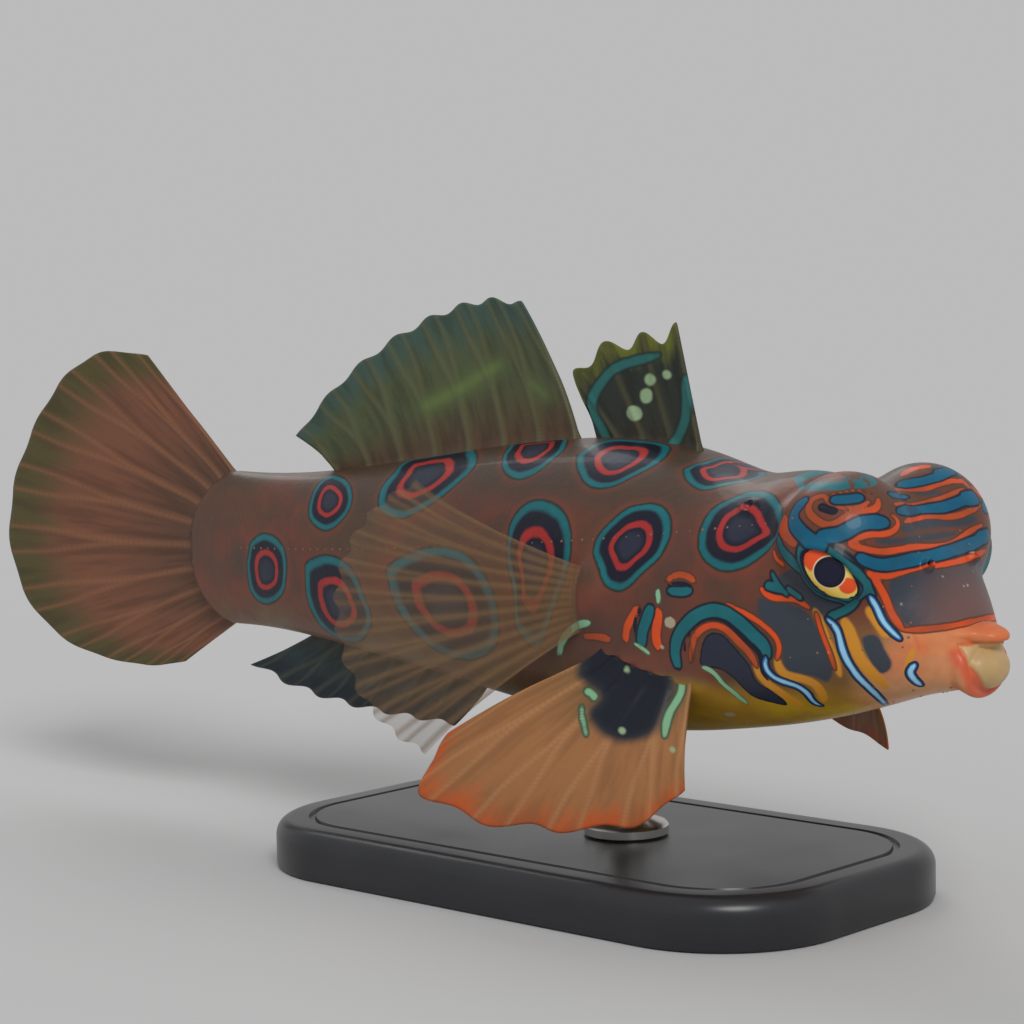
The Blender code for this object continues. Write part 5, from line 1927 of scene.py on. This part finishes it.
def skin_look(grain: bpy.types.NodeTree) -> bpy.types.Material:
    """The skin's colours, laid over one another as the fish wears them, with the bright stripes' pale cores
    partly a painted highlight, and its wet, fine-grained surface.

    Args:
        grain: The shared grain.

    Returns:
        The skin's material.
    """
    look = Look("wet_skin", "skin", grain, fineness=3600.0, depth=0.22)
    g = look.graph
    wobble = g.math("MULTIPLY", g.math("SUBTRACT", g.noise(look.place, 900.0), 0.5), 0.12)
    near = {paint: g.math("ADD", g.number(paint.value), wobble) for paint in SKIN_PAINTS}
    shade = g.noise(look.place, 700.0)
    teal = g.mix(shade, srgb(8, 84, 96), srgb(26, 118, 124))
    blue = g.mix(shade, srgb(0, 70, 98), srgb(0, 108, 142))
    red = g.mix(shade, srgb(146, 34, 42), srgb(184, 50, 40))
    warm = g.mask(g.noise(look.place, 230.0), 0.38, 0.6)
    orange = g.mix(warm, srgb(166, 72, 36), g.mix(shade, srgb(238, 82, 24), srgb(204, 76, 30)))
    ink, slate, moss = srgb(16, 18, 38), srgb(40, 44, 62), srgb(30, 46, 34)
    dusk = g.mix(g.number("snout"), srgb(56, 62, 72), srgb(112, 82, 78))
    colour = look.layer(skin_ground(look), near[Paint.DUSK], (0.02, 0.12, dusk))
    colour = g.mix(g.math("MULTIPLY", g.mask(near[Paint.RING], 0.55, 0.0), 0.35), colour, srgb(140, 62, 50))
    near["lid"] = g.number("lid")
    for family, *bands in (
        (Paint.RING, (0.09, 0.06, moss), (0.0, 0.04, teal), (-0.16, 0.05, ink), (-0.42, 0.03, red),
         (-0.57, 0.03, ink), (-0.68, 0.1, slate)),
        (Paint.NAPE, (0.1, 0.05, teal), (-0.2, 0.06, srgb(96, 60, 46)), (-0.45, 0.05, srgb(150, 70, 44)),
         (-0.7, 0.06, slate)),
        (Paint.GOLD, (0.04, 0.08, srgb(208, 140, 40))),
        (Paint.ORANGE, (0.07, 0.04, srgb(84, 50, 30)), (0.0, 0.035, orange)),
        (Paint.NAVY, (0.02, 0.03, ink), (-0.12, 0.05, slate)),
        ("lid", (0.5, 0.05, ink), (0.34, 0.05, teal), (0.12, 0.04, ink)),
        (Paint.TEAL, (0.1, 0.05, ink), (0.0, 0.04, teal)),
        (Paint.BLUE, (0.1, 0.05, ink), (0.0, 0.04, blue)),
        (Paint.MINT, (0.03, 0.04, srgb(60, 90, 74)), (-0.01, 0.03, srgb(140, 190, 150))),
        # The bright stripes' near-white core is partly their own pale colour and partly a painted highlight.
        (Paint.BRIGHT, (0.09, 0.03, ink), (0.0, 0.03, srgb(20, 100, 164)),
         (-0.06, 0.03, srgb(156, 208, 236))),
        (Paint.PALE, (0.0, 0.04, srgb(172, 162, 138))),
    ):
        colour = look.layer(colour, near[family], *bands)
    return look.finish(colour, gloss_low=0.34, gloss_high=0.52)


def fin_look(name: str, slot: str, grain: bpy.types.NodeTree) -> bpy.types.Material:
    """A fin's finish: a web streaked along its rays, paler rays with their joints, a margin and markings.

    Args:
        name: The fin's name, without its side.
        slot: The plain finish it starts from.
        grain: The shared grain.

    Returns:
        The fin's material.
    """
    look = Look(f"web_of_{name}", slot, grain, fineness=5200.0, depth=0.18)
    g, paints = look.graph, FIN_COLOURS[name]
    place, share, ray = g.number("place"), g.number("share"), g.number("ray")
    stretched = {"X": g.math("MULTIPLY", place, 2.6), "Y": g.math("MULTIPLY", share, 1.5)}
    streak = g.noise(g.add("ShaderNodeCombineXYZ", stretched).outputs[0], 1.6, 4.0)
    colour = g.mix(g.mask(share, 0.0, 0.55), srgb(*paints.root), srgb(*paints.middle))
    edge = g.math("ADD", share, g.math("MULTIPLY", g.math("SUBTRACT", streak, 0.5), 0.3))
    margin = g.mask(edge, paints.margin_start - 0.1, paints.margin_start + 0.16)
    colour = g.mix(margin, colour, srgb(*paints.margin))
    dark = g.mix(paints.streak, colour, srgb(30, 26, 20))
    colour = g.mix(g.mask(streak, 0.58, 0.36), colour, dark)
    joints = g.math("SINE", g.math("MULTIPLY", share, 230.0))
    bone = srgb(*paints.ray)
    bony = g.mix(g.mask(joints, 0.4, 1.0), bone, g.mix(0.16, bone, srgb(40, 30, 22)))
    colour = g.mix(g.math("MULTIPLY", ray, 0.6), colour, bony)
    wobble = g.math("MULTIPLY", g.math("SUBTRACT", g.noise(look.place, 700.0), 0.5), 0.2)
    near = {paint: g.math("ADD", g.number(paint.value), wobble) for paint in FIN_PAINTS}
    for family, *bands in (
        (Paint.BLOTCH, (0.05, 0.3, srgb(40, 44, 52)), (-0.3, 0.25, srgb(26, 30, 42))),
        (Paint.TEAL, (0.1, 0.08, srgb(30, 44, 42)), (0.0, 0.09, srgb(44, 104, 100))),
        (Paint.LIME, (0.3, 0.5, srgb(86, 98, 60)), (-0.05, 0.3, srgb(98, 116, 64))),
        (Paint.MINT, (0.08, 0.08, srgb(50, 80, 66)), (-0.02, 0.06, srgb(132, 178, 138))),
        (Paint.PALE, (0.0, 0.08, srgb(150, 176, 136))),
    ):
        colour = look.layer(colour, near[family], *bands)
    if paints.web_cover < 1.0:
        inputs = {"Value": ray, "To Min": paints.web_cover, "To Max": paints.ray_cover}
        g.give(look.shader.inputs["Alpha"], g.add("ShaderNodeMapRange", inputs).outputs[0])
    return look.finish(colour, gloss_low=0.38, gloss_high=0.55)


def eye_look(grain: bpy.types.NodeTree) -> bpy.types.Material:
    """The eye's finish: a navy pupil in a yellow iris that turns orange at both corners.

    Args:
        grain: The shared grain.

    Returns:
        The eye's material.
    """
    look = Look("eye", "eye_glass", grain, fineness=2500.0, depth=0.02)
    g = look.graph
    u, v = g.number("eye_u"), g.number("eye_v")
    front_corner, pupil, corner_orange = (0.88, 0.06), (-0.05, 0.04), (238, 84, 34)
    colour = g.mix(g.mask(look.mottle, 0.35, 0.65), srgb(240, 196, 74), srgb(246, 222, 112))
    behind = g.mask(g.math("ADD", u, g.math("MULTIPLY", v, -0.25)), -0.45, -0.62)
    colour = g.mix(g.math("MULTIPLY", behind, g.mask(v, -0.55, -0.4)), colour, srgb(*corner_orange))
    colour = look.layer(colour, g.distance(u, v, *front_corner), (0.36, 0.05, srgb(*corner_orange)))
    bands = (0.7, 0.03, srgb(236, 214, 176)), (0.65, 0.02, srgb(6, 5, 26)), (0.5, 0.16, srgb(16, 17, 48))
    colour = look.layer(colour, g.distance(u, v, *pupil), *bands)
    return look.finish(colour, gloss_low=0.05, gloss_high=0.09)


def plain_look(
    name: str, slot: str, low: tuple, high: tuple, grain: bpy.types.NodeTree
) -> bpy.types.Material:
    """A finish with no markings, faintly mottled.

    Args:
        name: The material's name.
        slot: The plain finish it starts from.
        low: Its colour where the mottle is low.
        high: Its colour where it is high.
        grain: The shared grain.

    Returns:
        The material.
    """
    look = Look(name, slot, grain, fineness=900.0, depth=0.03)
    rough = look.shader.inputs["Roughness"].default_value
    return look.finish(look.graph.mix(look.mottle, srgb(*low), srgb(*high)), 0.85 * rough, 1.15 * rough)


# The studio


@dataclass(frozen=True)
class StudioSizes:
    """The floor and the light; a sun has a name, a direction, a spread and a power."""

    half_floor: float = 18.0
    suns: tuple = (("key", (0.75, -0.6, 0.8), 24, 1.3), ("rim", (-0.7, 0.45, 0.75), 30, 0.5))
    sky: float = 0.5


class Studio:
    """A pale floor under an even sky of the same tone, and two soft suns."""

    def __init__(self, sizes: StudioSizes) -> None:
        """Keeps the sizes."""
        self.sizes = sizes

    def make(self) -> None:
        """Makes the floor, the lights and the world."""
        size, scene = self.sizes.half_floor, bpy.context.scene
        mesh = bpy.data.meshes.new("studio_floor")
        corners = [(-size, -size, 0), (size, -size, 0), (size, size, 0), (-size, size, 0)]
        mesh.from_pydata(corners, [], [(0, 1, 2, 3)])
        mesh.materials.append(plain_material("studio_paper", "paper"))
        floor = bpy.data.objects.new("studio_floor", mesh)
        scene.collection.objects.link(floor)
        for name, toward, spread, power in self.sizes.suns:
            data = bpy.data.lights.new(f"sun_{name}", "SUN")
            data.angle, data.energy = radians(spread), power
            light = bpy.data.objects.new(f"sun_{name}", data)
            back = unit(np.array(toward))
            right = unit(np.cross(UP, back))
            light.matrix_world = stood(back, right, np.cross(back, right), back)
            scene.collection.objects.link(light)
        scene.world = bpy.data.worlds.new("studio_air")
        scene.world.use_nodes = True
        sky = scene.world.node_tree.nodes["Background"].inputs
        sky["Color"].default_value, sky["Strength"].default_value = (1.0, 1.0, 1.0, 1.0), self.sizes.sky
        scene.view_settings.view_transform = "Standard"


def main() -> None:
    """Builds the scene."""
    logging.basicConfig(level=logging.INFO, format="%(name)s: %(message)s")
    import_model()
    flesh, camera = Flesh(FleshSizes()), PhotoCamera()
    camera.make()
    Studio(StudioSizes()).make()
    grain = fine_grain()
    eyes = [Eye(EyeSizes(), side, flesh) for side in Side]
    pieces = [Skin(SkinSizes(), flesh, eyes, TracePainter(camera, flesh)).make(skin_look(grain))]
    iris = eye_look(grain)
    pieces += [eye.make(iris) for eye in eyes]
    fins, webs = Fins(FinSizes(), flesh, camera), {}
    for plan in fins.plans():
        if plan.kind not in webs:
            webs[plan.kind] = fin_look(plan.kind, plan.slot, grain)
        pieces.append(fins.make(plan, webs[plan.kind]))
    pore = plain_look("skin_pore", "skin", (122, 88, 66), (146, 108, 82), grain)
    pieces.append(Pores(flesh, eyes).make(pore))
    pieces += Stand(StandSizes(), flesh).make(grain)
    for piece in pieces:
        LOG.info("%s has %d faces", piece.name, len(piece.data.polygons))


if __name__ == "__main__":
    main()
